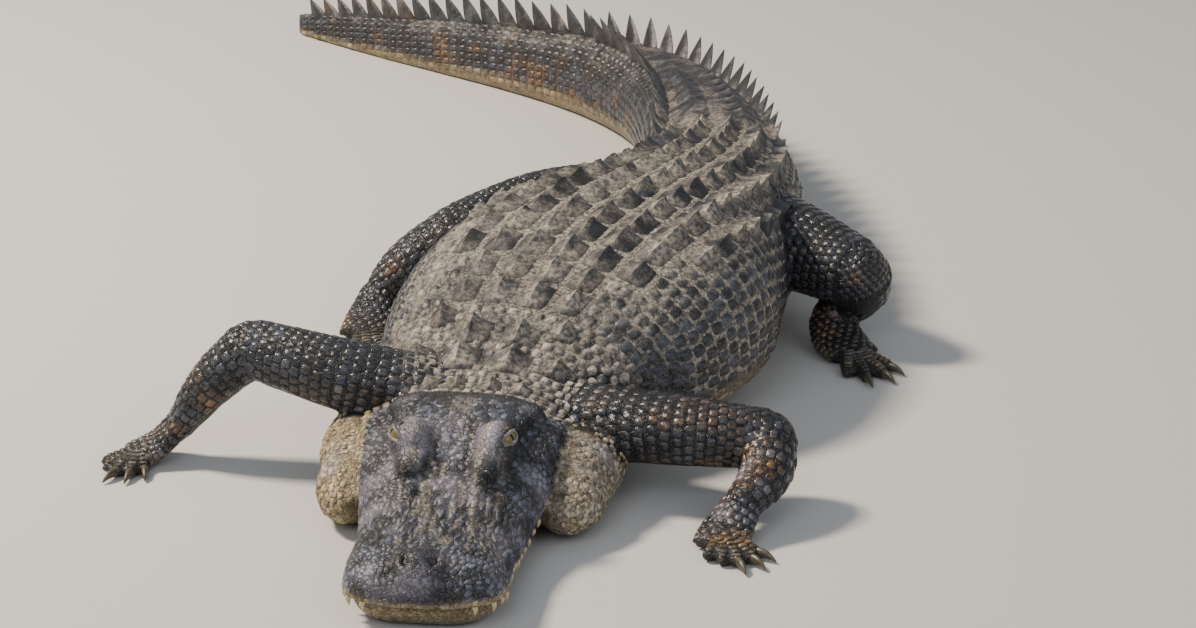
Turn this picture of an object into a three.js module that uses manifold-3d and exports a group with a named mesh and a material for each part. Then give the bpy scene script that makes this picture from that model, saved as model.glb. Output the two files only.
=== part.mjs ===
// American alligator, life size, lying on its belly with its tail swept round to its right.
// Millimetres, +Z up. The head points to -Y, and +X is the animal's left.
// The origin is on the floor, under the belly at mid trunk.
import * as THREE from "three";
import { mergeVertices } from "three/addons/utils/BufferGeometryUtils.js";
import Module from "manifold-3d";

const wasm = await Module();
wasm.setup();

// Driving dimensions. Stations are lengths along the back from the tip of the snout.
const TOTAL_LENGTH = 2760;
const SKULL_BACK = 372; // where the head meets the neck
const NECK_END = 560;
const TAIL_START = 1290;
const TAIL_CUTS = [1644, 1994, 2340]; // the tail's lengths, between two rows of scutes
const ORIGIN_STATION = 745;
const GAP = 0.3; // between touching nodes
const FLOOR_DROP = 8; // how far a rounded underside is taken below the floor, to be cut flat
const DEG = Math.PI / 180;

// Heading of the spine at a station, in degrees from +Y towards +X.
const HEADINGS = [
  [0, 6],
  [330, 7.5],
  [400, 9.5],
  [480, 15],
  [600, 24.5],
  [750, 31],
  [950, 26],
  [1170, 11],
  [1300, 3],
  [1450, -3],
  [1600, -7],
  [1750, -13],
  [1900, -25],
  [2050, -38],
  [2200, -47],
  [2400, -51],
  [2760, -46],
];

// Trunk and tail: station, half width, height of the back, height of the widest place.
const BODY = [
  [340, 112, 128, 62],
  [400, 126, 136, 62],
  [470, 144, 152, 66],
  [560, 180, 184, 76],
  [650, 216, 216, 88],
  [740, 234, 239, 98],
  [830, 230, 249, 102],
  [920, 192, 250, 102],
  [1020, 157, 243, 98],
  [1120, 139, 233, 96],
  [1200, 129, 221, 94],
  [1290, 120, 208, 90],
  [1420, 104, 194, 85],
  [1560, 92, 180, 80],
  [1700, 81, 165, 74],
  [1850, 69, 149, 67],
  [2000, 57, 133, 60],
  [2150, 45, 118, 53],
  [2300, 34, 102, 46],
  [2450, 24, 84, 38],
  [2600, 14, 64, 29],
  [2730, 6, 44, 21],
  [2760, 3, 36, 18],
];

// Head: station, half width, top of the snout and skull, mouth line.
const HEAD = [
  [0, 30, 50, 32],
  [6, 50, 60, 32],
  [18, 74, 72, 32],
  [38, 88, 80, 31],
  [60, 93, 82, 30],
  [85, 94, 79, 34],
  [110, 93, 78, 36],
  [150, 95, 82, 31],
  [190, 99, 90, 33],
  [230, 106, 101, 42],
  [270, 113, 113, 51],
  [310, 120, 121, 61],
  [345, 127, 124, 74],
  [372, 131, 120, 82],
  [400, 133, 114, 90],
];

// A smooth value from a table whose rows start with the place along it.
function sample(table, at, column) {
  let i = 0;
  while (i < table.length - 2 && at > table[i + 1][0]) i += 1;
  const slope = (k) => {
    const before = table[Math.max(k - 1, 0)];
    const after = table[Math.min(k + 1, table.length - 1)];
    return (after[column] - before[column]) / (after[0] - before[0]);
  };
  const [a, b] = [table[i], table[i + 1]];
  const span = b[0] - a[0];
  const t = (at - a[0]) / span;
  const rise = b[column] - a[column];
  const [m0, m1] = [slope(i) * span, slope(i + 1) * span];
  return a[column] + t * (m0 + t * (3 * rise - 2 * m0 - m1 + t * (m0 + m1 - 2 * rise)));
}

// The spine's place on the floor at each whole station, walked in both directions from the origin.
const spinePlaces = (() => {
  const places = Array.from({ length: TOTAL_LENGTH + 1 }, () => new THREE.Vector3());
  const stepAt = (s) => {
    const heading = sample(HEADINGS, s, 1) * DEG;
    return new THREE.Vector3(Math.sin(heading), Math.cos(heading), 0);
  };
  for (let s = ORIGIN_STATION + 1; s <= TOTAL_LENGTH; s += 1)
    places[s].copy(places[s - 1]).add(stepAt(s - 0.5));
  for (let s = ORIGIN_STATION - 1; s >= 0; s -= 1) places[s].copy(places[s + 1]).sub(stepAt(s + 0.5));
  return places;
})();

const UP = new THREE.Vector3(0, 0, 1);

// Where the spine is at a station, with the directions towards the tail and the animal's left.
function spine(station) {
  const s = Math.min(Math.max(station, 0), TOTAL_LENGTH);
  const low = Math.min(Math.floor(s), TOTAL_LENGTH - 1);
  const at = new THREE.Vector3().lerpVectors(spinePlaces[low], spinePlaces[low + 1], s - low);
  const heading = sample(HEADINGS, s, 1) * DEG;
  const back = new THREE.Vector3(Math.sin(heading), Math.cos(heading), 0);
  at.addScaledVector(back, station - s);
  return { at, back, left: new THREE.Vector3(Math.cos(heading), -Math.sin(heading), 0) };
}

// A point given by its station, its distance to the left and its height.
function fromSpine(station, left, height) {
  const frame = spine(station);
  return frame.at.addScaledVector(frame.left, left).addScaledVector(UP, height);
}

const bulge = (value, power) => Math.sign(value) * Math.abs(value) ** power;

// Solids

// A closed three.js geometry as a manifold solid.
function solid(geometry) {
  const bare = new THREE.BufferGeometry();
  bare.setAttribute("position", geometry.getAttribute("position"));
  bare.setIndex(geometry.index);
  const merged = mergeVertices(bare, 1e-3);
  return new wasm.Manifold(
    new wasm.Mesh({
      numProp: 3,
      vertProperties: new Float32Array(merged.attributes.position.array),
      triVerts: new Uint32Array(merged.index.array),
    }),
  );
}

// A cylinder bent so that ring k lies at stations[k] and a point at angle a of it lies at place(station, a, share).
function loft(stations, sides, place) {
  const rings = stations.length - 1;
  const geometry = new THREE.CylinderGeometry(1, 1, 1, sides, rings);
  const position = geometry.getAttribute("position");
  for (let i = 0; i < position.count; i += 1) {
    const station = stations[Math.round((position.getY(i) + 0.5) * rings)];
    const share = Math.hypot(position.getX(i), position.getZ(i));
    const angle = Math.atan2(position.getX(i), position.getZ(i));
    position.setXYZ(i, ...place(station, angle, share).toArray());
  }
  return solid(geometry);
}

// Evenly spaced stations from one to another, no further apart than a pitch.
function evenly(from, to, pitch) {
  const count = Math.max(1, Math.ceil((to - from) / pitch));
  return Array.from({ length: count + 1 }, (_, i) => from + ((to - from) * i) / count);
}

const joined = (pieces) => pieces.reduce((all, piece) => all.add(piece));
const largest = (body) =>
  body.decompose().reduce((best, piece) => (piece.volume() > best.volume() ? piece : best));

function box(width, depth, height, centre) {
  const geometry = new THREE.BoxGeometry(width, depth, height);
  return solid(geometry.translate(centre.x, centre.y, centre.z));
}

const FLOOR_SPREAD = 8000;
const belowFloor = box(FLOOR_SPREAD, FLOOR_SPREAD, 200, new THREE.Vector3(0, 0, -100));

// An ellipsoid with its axes along the spine's directions at a station.
function ellipsoid(station, left, height, halfLength, halfWidth, halfHeight, sides = 16) {
  const frame = spine(station);
  const geometry = new THREE.SphereGeometry(1, sides, sides / 2);
  geometry.scale(halfWidth, halfLength, halfHeight);
  const turned = new THREE.Matrix4().makeBasis(frame.left, frame.back, UP);
  turned.setPosition(fromSpine(station, left, height));
  return solid(geometry.applyMatrix4(turned));
}

// Trunk, neck and tail

const BODY_SIDES = 20;
const BODY_PITCH = 62;
const ROUNDNESS = 2 / 2.35;

// A point on the body's surface: angle 0 is the middle of the back, and positive angles are on the left.
function bodyPoint(station, angle, share = 1, swell = 0) {
  const middle = sample(BODY, station, 3);
  const across = (sample(BODY, station, 1) + swell) * bulge(Math.sin(angle), ROUNDNESS);
  const rise = Math.cos(angle) > 0 ? sample(BODY, station, 2) + swell - middle : middle + FLOOR_DROP;
  return fromSpine(station, share * across, middle + share * rise * bulge(Math.cos(angle), ROUNDNESS));
}

const OVERLAP = 15; // a length of body is made that much longer at both ends, then cut square
function bodyLength(from, to, swell = 0) {
  const place = (station, angle, share) => bodyPoint(station, angle, share, swell);
  return loft(evenly(from - OVERLAP, Math.min(to + OVERLAP, TOTAL_LENGTH), BODY_PITCH), BODY_SIDES, place);
}

// The place on the body's surface at a distance round from the middle of the back, with its own axes.
function onBody(station, round) {
  const step = 1.5 * DEG * Math.sign(round || 1);
  let [angle, walked] = [0, 0];
  let here = bodyPoint(station, 0);
  while (walked < Math.abs(round)) {
    const next = bodyPoint(station, angle + step);
    walked += next.distanceTo(here);
    here = next;
    angle += step;
  }
  const along = bodyPoint(station + 4, angle).sub(bodyPoint(station - 4, angle)).normalize();
  const across = bodyPoint(station, angle + 2 * DEG).sub(bodyPoint(station, angle - 2 * DEG));
  const normal = new THREE.Vector3().crossVectors(across, along).normalize();
  return { here, along, normal, across: new THREE.Vector3().crossVectors(along, normal) };
}

function placed(geometry, spot, sink = 0) {
  const turned = new THREE.Matrix4().makeBasis(spot.across, spot.along, spot.normal);
  turned.setPosition(spot.here.clone().addScaledVector(spot.normal, -sink));
  return solid(geometry.applyMatrix4(turned));
}

// A bony plate: two slopes that meet in a keel, which rises towards the tail.
const PLATE_ROOT = 8; // how deep a plate's underside sits in the body
function keeledPlate(length, width, keel) {
  const geometry = new THREE.CylinderGeometry(1, 1, length, 3, 1);
  const position = geometry.getAttribute("position");
  const spread = (width / 2) * (1 + PLATE_ROOT / keel);
  for (let i = 0; i < position.count; i += 1) {
    const [x, y] = [position.getX(i), position.getY(i)];
    if (position.getZ(i) > 0) position.setXYZ(i, 0, y, y > 0 ? keel : 0.45 * keel);
    else position.setXYZ(i, Math.sign(x) * spread, y, -PLATE_ROOT);
  }
  return geometry;
}

// A tall blade of the tail's crest, leaning back.
function crestBlade(length, thickness, height) {
  const geometry = new THREE.ConeGeometry(1, 1, 4, 1);
  geometry.rotateX(Math.PI / 2);
  const position = geometry.getAttribute("position");
  for (let i = 0; i < position.count; i += 1) {
    const tip = position.getZ(i) > 0;
    const x = (position.getX(i) * thickness) / 2;
    const y = (position.getY(i) * length) / 2;
    position.setXYZ(i, x, tip ? 0.62 * length : y, tip ? height : -PLATE_ROOT);
  }
  return geometry;
}

// Rows of back plates, from the shoulders to the root of the tail.
const BACK_ROW_PITCH = 45.6;
const backRows = Array.from({ length: 16 }, (_, i) => NECK_END + (i + 0.5) * BACK_ROW_PITCH);
// Station, plates on each side of the middle, width of a plate, height of the keels.
const BACK_PLATES = [
  [560, 1.6, 46, 14],
  [650, 2.6, 48, 16],
  [750, 3.6, 49, 17],
  [1000, 4.1, 46, 18],
  [1150, 3.4, 42, 19],
  [1290, 2.6, 38, 20],
];

function backPlates(station) {
  const count = Math.round(sample(BACK_PLATES, station, 1));
  const width = sample(BACK_PLATES, station, 2);
  const keel = sample(BACK_PLATES, station, 3);
  const plates = [];
  for (let column = 0; column < count; column += 1) {
    for (const side of [-1, 1]) {
      const spot = onBody(station, side * (column + 0.5) * width);
      plates.push(placed(keeledPlate(0.88 * BACK_ROW_PITCH, 0.86 * width, keel), spot));
    }
  }
  return plates;
}

// Neck plates: station, distance from the middle, length, width, keel.
const NECK_PLATES = [
  [408, 20, 26, 28, 10],
  [410, 56, 24, 28, 10],
  [462, 31, 44, 52, 19],
  [470, 86, 34, 38, 15],
  [510, 30, 40, 50, 19],
  [534, 78, 32, 36, 15],
];

function neckPlates() {
  return NECK_PLATES.flatMap(([station, round, length, width, keel]) =>
    [-1, 1].map((side) => placed(keeledPlate(length, width, keel), onBody(station, side * round))),
  );
}

// Rings of tail scales: the spacing shrinks towards the tip.
const tailRows = (() => {
  const rows = [];
  let station = TAIL_START;
  for (let i = 0; i < 35; i += 1) {
    const pitch = 47 - 0.37 * i;
    rows.push({ station: station + pitch / 2, pitch });
    station += pitch;
  }
  return rows;
})();
const CREST_JOIN = 2050; // where the two crests run into one
// Station, distance of each crest from the middle, height of its blades.
const CREST = [
  [1290, 88, 22],
  [1450, 72, 32],
  [1650, 56, 40],
  [1850, 36, 44],
  [2050, 9, 46],
  [2300, 0, 50],
  [2540, 0, 40],
  [2760, 0, 18],
];
const INNER_ROWS_END = 1720; // where the low keels between the crests die out

function tailPlates({ station, pitch }) {
  const round = sample(CREST, station, 1);
  const height = sample(CREST, station, 2);
  const sides = station < CREST_JOIN ? [-1, 1] : [0];
  const blade = () => crestBlade(1.02 * pitch, 13, height);
  const plates = sides.map((side) => placed(blade(), onBody(station, side * round)));
  if (station < INNER_ROWS_END)
    for (const side of [-1, 1]) {
      const spot = onBody(station, 0.36 * side * round);
      plates.push(placed(keeledPlate(0.86 * pitch, 0.5 * round, 11), spot));
    }
  return plates;
}

// The space ahead of the plane across the spine at a station, or the space behind it.
function halfSpace(station, ahead) {
  const frame = spine(station);
  const reach = 1200;
  const geometry = new THREE.BoxGeometry(reach, reach, reach);
  const turned = new THREE.Matrix4().makeBasis(frame.left, frame.back, UP);
  turned.setPosition(frame.at.addScaledVector(frame.back, (ahead ? -reach : reach) / 2));
  return solid(geometry.applyMatrix4(turned));
}

// A length of neck, trunk or tail with the plates whose rows lie on it, clear of whatever grows from its sides.
function bodyNode(from, to, plates, keepClear = []) {
  let armour = joined(plates);
  for (const other of keepClear) armour = armour.subtract(other);
  const length = bodyLength(from, to).add(armour).subtract(belowFloor);
  return largest(length.intersect(halfSpace(from, false)).intersect(halfSpace(to, true)));
}

const between = (rows, from, to) => rows.filter(({ station }) => station > from && station < to);

// Head

const HEAD_SIDES = 18;
const headStations = HEAD.map(([station]) => station);
const LIP_OVERHANG = 9; // the upper jaw is that much wider than the lower on each side
const JAW_SETBACK = 10; // how far the chin lies behind the tip of the snout
const MOUTH_GAP = 1.2;

// The upper jaw and skull: a dome over the mouth line.
function skull(swell = 0) {
  return loft(headStations, HEAD_SIDES, (station, angle, share) => {
    const width = sample(HEAD, station, 1) + swell;
    const mouth = sample(HEAD, station, 3) - swell;
    const rise = sample(HEAD, station, 2) + swell - mouth;
    const above = Math.max(0, Math.cos(angle));
    const across = Math.cos(angle) > 0 ? bulge(Math.sin(angle), 0.7) : Math.sin(angle);
    return fromSpine(station, share * width * across, mouth + share * rise * above ** 0.75);
  });
}

// The lower jaw: its underside lies on the floor.
const CHIN = [
  [12, 24],
  [26, 8],
  [50, -3],
  [84, -6],
  [400, -6],
];

function lowerJawBone() {
  const stations = [12, ...headStations.filter((station) => station > 12)];
  return loft(stations, HEAD_SIDES, (station, angle, share) => {
    const width = sample(HEAD, station - JAW_SETBACK, 1) - LIP_OVERHANG;
    const top = sample(HEAD, station, 3) - MOUTH_GAP;
    const drop = top - sample(CHIN, station, 1);
    const below = Math.max(0, -Math.cos(angle));
    const across = Math.cos(angle) < 0 ? bulge(Math.sin(angle), 0.6) : Math.sin(angle);
    return fromSpine(station, share * width * across, top - share * drop * below ** 0.6);
  });
}

// The jaw muscle that bulges beside the back of the head and the throat:
// station, distance from the middle, height, half length, half width, half height, sides.
const JOWLS = [
  [398, 130, 50, 84, 54, 50, 14],
  [330, 128, 36, 82, 44, 38, 12],
];
const jowls = (swell = 0) =>
  joined(
    [-1, 1].flatMap((side) =>
      JOWLS.map(([station, left, height, long, wide, tall, sides]) =>
        ellipsoid(station, side * left, height, long + swell, wide + swell, tall + swell, sides),
      ),
    ),
  );

const EYE = { station: 266, left: 56, height: 127, radius: 17.5 };
const TABLE = { front: 236, back: 367, top: 147, fall: 44, halfFront: 30, halfBack: 98, root: 104 };

// The flat bony table over the back of the skull.
function skullTable() {
  return loft(evenly(TABLE.front, TABLE.back, 26), 12, (station, angle, share) => {
    const along = (station - TABLE.front) / (TABLE.back - TABLE.front);
    const width = TABLE.halfFront + (TABLE.halfBack - TABLE.halfFront) * Math.sqrt(along);
    const top = TABLE.top - TABLE.fall * (1 - along) ** 2.4;
    const rise = Math.cos(angle) > 0 ? Math.max(top - TABLE.root, 1) : 10;
    const height = TABLE.root + share * rise * bulge(Math.cos(angle), 0.6);
    return fromSpine(station, share * width * bulge(Math.sin(angle), 0.7), height);
  });
}

const eyeball = (side, swell = 0) =>
  ellipsoid(EYE.station, side * EYE.left, EYE.height, EYE.radius + swell, EYE.radius + swell, EYE.radius + swell, 12);

// The teeth of the upper jaw that show outside the lower one.
const TOOTH_STATIONS = [14, 30, 46, 62, 96, 112, 128, 144, 160, 178, 196, 214, 232];

function teeth() {
  return TOOTH_STATIONS.flatMap((station, i) =>
    [-1, 1].map((side) => {
      const long = i === 3 || i === 7 ? 11 : 7 + 1.5 * Math.sin(2.1 * i);
      const geometry = new THREE.ConeGeometry(3.8, 8 + long, 4, 1);
      geometry.rotateX(-Math.PI / 2);
      const inset = station < 30 ? 7 : 5;
      const root = fromSpine(station, side * (sample(HEAD, station, 1) - inset), sample(HEAD, station, 3));
      geometry.translate(root.x, root.y, root.z + (8 - long) / 2);
      return solid(geometry);
    }),
  );
}

function headNode() {
  const brow = (side) => [
    ellipsoid(EYE.station + 2, side * 50, 121, 38, 26, 32, 12),
    ellipsoid(EYE.station - 42, side * 40, 92, 50, 12, 13, 10),
  ];
  const nose = [
    ellipsoid(36, 0, 64, 33, 38, 26, 12),
    ellipsoid(31, -15, 79, 15, 11, 9, 8),
    ellipsoid(31, 15, 79, 15, 11, 9, 8),
  ];
  const nostrils = [-1, 1].map((side) => ellipsoid(28, side * 15, 88, 8, 4.5, 6, 8));
  let head = joined([skull(), skullTable(), ...[-1, 1].flatMap(brow), ...nose]);
  head = head.intersect(halfSpace(SKULL_BACK, true));
  head = joined([head, ...teeth()]);
  const lidCut = (side) => ellipsoid(EYE.station - 6, side * (EYE.left + 19), EYE.height + 4, 18, 15, 9, 12);
  for (const hole of [...nostrils, eyeball(-1, GAP), eyeball(1, GAP), lidCut(-1), lidCut(1)])
    head = head.subtract(hole);
  return largest(head);
}

function lowerJawNode() {
  const jaw = lowerJawBone().add(jowls()).intersect(halfSpace(SKULL_BACK, true));
  return largest(jaw.subtract(skull(GAP)).subtract(belowFloor));
}

// Limbs

// Each row is a place along the limb, its x, y and z, and its half width and half height.
const LIMBS = {
  fore_right: {
    foot: "hand",
    parts: ["upper_arm", "forearm"],
    cuts: [2, 4],
    rows: [
      [0, -154, -253, 92, 58, 50],
      [1, -286, -253, 128, 47, 44],
      [2, -396, -213, 146, 36, 37],
      [3, -448, -213, 98, 33, 30],
      [4, -484, -209, 48, 24, 20],
      [5, -516, -213, 20, 34, 15],
      [6, -550, -223, 9, 32, 11],
    ],
    toes: { at: 5.4, headings: [-112, -132, -150, -168, -186], lengths: [50, 58, 60, 54, 44], claws: 3, reverse: true },
  },
  fore_left: {
    foot: "hand",
    parts: ["upper_arm", "forearm"],
    cuts: [2, 4],
    rows: [
      [0, -24, -279, 82, 56, 46],
      [1, 116, -333, 88, 46, 42],
      [2, 220, -341, 80, 37, 37],
      [3, 216, -391, 57, 33, 30],
      [4, 188, -435, 38, 24, 20],
      [5, 170, -462, 18, 34, 15],
      [6, 156, -491, 9, 32, 11],
    ],
    toes: { at: 5.4, headings: [-232, -214, -196, -178, -154], lengths: [50, 58, 60, 54, 44], claws: 3, reverse: false },
  },
  hind_left: {
    foot: "foot",
    parts: ["thigh", "shank"],
    cuts: [2, 4],
    rows: [
      [0, 152, 353, 112, 72, 66],
      [1, 256, 255, 124, 66, 62],
      [2, 358, 167, 106, 50, 48],
      [3, 362, 199, 66, 42, 38],
      [4, 326, 197, 36, 28, 24],
      [5, 338, 157, 18, 38, 17],
      [6, 356, 119, 10, 38, 12],
    ],
    toes: { at: 5.6, headings: [-176, -192, -208, -224], lengths: [76, 92, 90, 74], claws: 3, reverse: true },
  },
  hind_right: {
    foot: "foot",
    parts: ["thigh", "shank"],
    cuts: [2, 4],
    rows: [
      [0, 66, 435, 112, 70, 62],
      [1, -54, 383, 124, 56, 52],
      [2, -164, 305, 116, 44, 42],
      [3, -232, 289, 78, 38, 34],
      [4, -272, 275, 40, 27, 24],
      [5, -282, 233, 18, 36, 17],
      [6, -290, 193, 10, 36, 12],
    ],
    toes: { at: 5.6, headings: [-216, -200, -184, -168], lengths: [74, 90, 92, 76], claws: 3, reverse: false },
  },
};
const LIMB_SIDES = 10;
const LIMB_RINGS = 2; // rings between two rows
const TOE_SIDES = 6;

function limbCentre(rows, at) {
  return new THREE.Vector3(sample(rows, at, 1), sample(rows, at, 2), sample(rows, at, 3));
}

function limbPoint(rows, at, angle, share, swell = 0) {
  const along = limbCentre(rows, at + 0.05).sub(limbCentre(rows, at - 0.05)).normalize();
  const rise = UP.clone().addScaledVector(along, -UP.dot(along)).normalize();
  const side = new THREE.Vector3().crossVectors(along, rise);
  const across = share * (sample(rows, at, 4) + swell) * Math.sin(angle);
  const lift = share * (sample(rows, at, 5) + swell) * Math.cos(angle);
  return limbCentre(rows, at).addScaledVector(side, across).addScaledVector(rise, lift);
}

// A length of limb, with a ball where it meets the one before it. A swollen one is the space its neighbours keep clear of.
function limbLength(rows, from, to, swell = 0) {
  const own = rows.filter(([at]) => at >= from && at <= to);
  const reach = limbCentre(own, to).distanceTo(limbCentre(own, to - 0.1)) / 0.1;
  const stations = evenly(from, to, 1 / LIMB_RINGS);
  stations[stations.length - 1] += swell / reach;
  const shape = loft(stations, LIMB_SIDES, (at, angle, share) => limbPoint(own, at, angle, share, swell));
  if (from === 0) return shape;
  const ball = new THREE.SphereGeometry(0.94 * Math.min(own[0][4], own[0][5]) + swell, 8, 5);
  return shape.add(solid(ball.translate(...limbCentre(own, from).toArray())));
}

// Rows of a toe: it arches from the foot to the floor. A claw carries on from its end.
function toeRows(root, heading, length, wide) {
  const way = new THREE.Vector3(Math.sin(heading * DEG), Math.cos(heading * DEG), 0);
  const step = (share, height, width, tall) => {
    const at = root.clone().addScaledVector(way, share * length);
    return [share, at.x, at.y, height, width, tall];
  };
  return [
    step(-0.3, 10, 0.9 * wide, 12),
    step(0.3, 11, wide, 12.5),
    step(0.7, 9, 0.92 * wide, 10.5),
    step(1, 7.5, 0.76 * wide, 9),
  ];
}

function clawRows(root, heading, length) {
  const way = new THREE.Vector3(Math.sin(heading * DEG), Math.cos(heading * DEG), 0);
  const step = (ahead, height, half) => {
    const at = root.clone().addScaledVector(way, length + ahead);
    return [ahead, at.x, at.y, height, 0.72 * half, half];
  };
  return [step(GAP, 8, 6.5), step(9, 8.5, 5.4), step(18, 6.5, 3.4), step(25, 3, 0.8)];
}

// Nodes

const group = new THREE.Group();

function addNode(name, body, colour, roughness = 0.55) {
  const mesh = body.getMesh();
  const geometry = new THREE.BufferGeometry();
  geometry.setAttribute("position", new THREE.BufferAttribute(new Float32Array(mesh.vertProperties), 3));
  geometry.setIndex(new THREE.BufferAttribute(new Uint32Array(mesh.triVerts), 1));
  geometry.computeVertexNormals();
  const material = new THREE.MeshStandardMaterial({ color: colour, roughness, metalness: 0, flatShading: true });
  const node = new THREE.Mesh(geometry, material);
  node.name = name;
  group.add(node);
}

const HIDE_DARK = 0x2f3136;
const HIDE_PALE = 0x8d8478;
const CLAW_HORN = 0x1d1b19;
const EYE_GOLD = 0x8f7d3a;

const NECK_REACH = [SKULL_BACK + GAP, NECK_END];
const TORSO_REACH = [NECK_END + GAP, TAIL_START];
const TAIL_REACH = [TAIL_START + GAP, TAIL_CUTS[0]];
const trunkSpace = joined([NECK_REACH, TORSO_REACH, TAIL_REACH].map((reach) => bodyLength(...reach, GAP)));
const limbShapes = Object.values(LIMBS).map(({ rows }) => limbLength(rows, 0, rows.length - 1, GAP));

addNode("head", headNode(), HIDE_DARK);
addNode("lower_jaw", lowerJawNode(), HIDE_DARK);
addNode("eye_right", eyeball(-1), EYE_GOLD, 0.15);
addNode("eye_left", eyeball(1), EYE_GOLD, 0.15);

addNode("neck", bodyNode(...NECK_REACH, [jowls(), ...neckPlates()], limbShapes), HIDE_PALE);
addNode(
  "torso",
  bodyNode(...TORSO_REACH, backRows.flatMap(backPlates), limbShapes),
  HIDE_PALE,
);
[TAIL_START, ...TAIL_CUTS].forEach((from, i, starts) => {
  const to = starts[i + 1] ?? TOTAL_LENGTH;
  const plates = between(tailRows, from, to).flatMap(tailPlates);
  addNode(`tail_${i + 1}`, bodyNode(from + GAP, to, plates, limbShapes), HIDE_PALE);
});

for (const [name, limb] of Object.entries(LIMBS)) {
  const { rows, cuts, toes } = limb;
  const [end, side] = name.split("_");
  const last = rows.length - 1;
  const upper = limbLength(rows, 0, cuts[0]).subtract(trunkSpace).subtract(jowls(GAP)).subtract(belowFloor);
  addNode(`${limb.parts[0]}_${side}`, largest(upper), HIDE_DARK);
  const lower = limbLength(rows, cuts[0], cuts[1]).subtract(limbLength(rows, 0, cuts[0], GAP));
  addNode(`${limb.parts[1]}_${side}`, largest(lower.subtract(trunkSpace).subtract(belowFloor)), HIDE_DARK);
  let foot = limbLength(rows, cuts[1], last).subtract(limbLength(rows, cuts[0], cuts[1], GAP));
  const root = limbCentre(rows, toes.at);
  toes.headings.forEach((heading, i) => {
    const wide = end === "fore" ? 10 : 12;
    const shape = toeRows(root, heading, toes.lengths[i], wide);
    foot = foot.add(loft(evenly(-0.3, 1, 0.44), TOE_SIDES, (at, angle, share) => limbPoint(shape, at, angle, share)));
    const order = toes.reverse ? toes.headings.length - 1 - i : i;
    if (order < toes.claws) {
      const claw = clawRows(root, heading, toes.lengths[i]);
      const horn = (from, swell) =>
        loft(evenly(from, 25, 8.3), TOE_SIDES, (at, angle, share) => limbPoint(claw, at, angle, share, swell));
      foot = foot.subtract(horn(0, GAP));
      addNode(`claw_${end}_${side}_${order + 1}`, horn(GAP, 0), CLAW_HORN, 0.3);
    }
  });
  addNode(`${limb.foot}_${side}`, largest(foot.subtract(belowFloor)), HIDE_DARK);
}

export default group;
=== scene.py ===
"""A life-size American alligator on its belly: one skin with plates, scales, crest, claws and teeth."""

import logging
import math
from dataclasses import dataclass, field
from enum import Enum, IntEnum

import bmesh
import bpy
import numpy as np
from mathutils.bvhtree import BVHTree
from mathutils.kdtree import KDTree
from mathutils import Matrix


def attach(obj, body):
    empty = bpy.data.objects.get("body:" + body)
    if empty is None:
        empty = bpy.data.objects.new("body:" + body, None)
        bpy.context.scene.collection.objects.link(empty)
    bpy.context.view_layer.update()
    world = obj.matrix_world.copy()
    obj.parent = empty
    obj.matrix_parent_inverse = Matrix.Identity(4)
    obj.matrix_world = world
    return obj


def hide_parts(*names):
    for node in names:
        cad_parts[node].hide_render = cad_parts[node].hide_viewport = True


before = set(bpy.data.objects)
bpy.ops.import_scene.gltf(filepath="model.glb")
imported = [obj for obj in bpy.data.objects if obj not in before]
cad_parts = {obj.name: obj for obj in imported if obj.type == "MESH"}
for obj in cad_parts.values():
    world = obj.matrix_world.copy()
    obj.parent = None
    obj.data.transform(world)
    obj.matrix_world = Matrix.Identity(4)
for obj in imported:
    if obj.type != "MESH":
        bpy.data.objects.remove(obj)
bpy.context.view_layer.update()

Piece = bpy.types.Object
Values = np.ndarray | float

LOG = logging.getLogger("alligator")
MM = 0.001
SCALE_LIFT = 1.2  # the skin lies this far inside the solids, under its scales
PATCH = 0.003  # the size of one scale's patch on the unwrapped skin

# Station along the back from the snout, and the spine's heading there in degrees from straight back.
HEADINGS = np.array(
    [(0, 6), (330, 7.5), (400, 9.5), (480, 15), (600, 24.5), (750, 31), (950, 26), (1170, 11), (1300, 3),
     (1450, -3), (1600, -7), (1750, -13), (1900, -25), (2050, -38), (2200, -47), (2400, -51), (2760, -46)],
    float)
# Station, half width, height of the back and height of the widest place of neck, trunk and tail.
BODY = np.array(
    [(340, 112, 128, 62), (400, 126, 136, 62), (470, 144, 152, 66), (560, 180, 184, 76), (650, 216, 216, 88),
     (740, 234, 239, 98), (830, 230, 249, 102), (920, 192, 250, 102), (1020, 157, 243, 98),
     (1120, 139, 233, 96), (1200, 129, 221, 94), (1290, 120, 208, 90), (1420, 104, 194, 85),
     (1560, 92, 180, 80), (1700, 81, 165, 74), (1850, 69, 149, 67), (2000, 57, 133, 60), (2150, 45, 118, 53),
     (2300, 34, 102, 46), (2450, 24, 84, 38), (2600, 14, 64, 29), (2730, 6, 44, 21), (2760, 3, 36, 18)],
    float)
# Station, half width, height of the top and height of the mouth line of the upper jaw and skull.
HEAD = np.array(
    [(0, 30, 50, 32), (6, 50, 60, 32), (18, 74, 72, 32), (38, 88, 80, 31), (60, 93, 82, 30), (85, 94, 79, 34),
     (110, 93, 78, 36), (150, 95, 82, 31), (190, 99, 90, 33), (230, 106, 101, 42), (270, 113, 113, 51),
     (310, 120, 121, 61), (345, 127, 124, 74), (372, 131, 120, 82), (400, 133, 114, 90)], float)
# Station and height of the chin, and of the crease of the mouth as it shows from outside.
CHIN = np.array([(12, 24), (26, 8), (50, -3), (84, -6), (400, -6)], float)
CREASE = np.array([(0, 32), (60, 30), (110, 36), (150, 31), (190, 34), (230, 46), (270, 63), (310, 84),
                   (345, 99), (400, 110)], float)
TOTAL_LENGTH = 2760
BODY_START = 340
BODY_END = 2755
ORIGIN_STATION = 745
NECK_END = 560
TAIL_START = 1290
EYE_STATION, EYE_LEFT, EYE_HEIGHT, EYE_RADIUS = 266, 56, 127, 17.5
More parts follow.
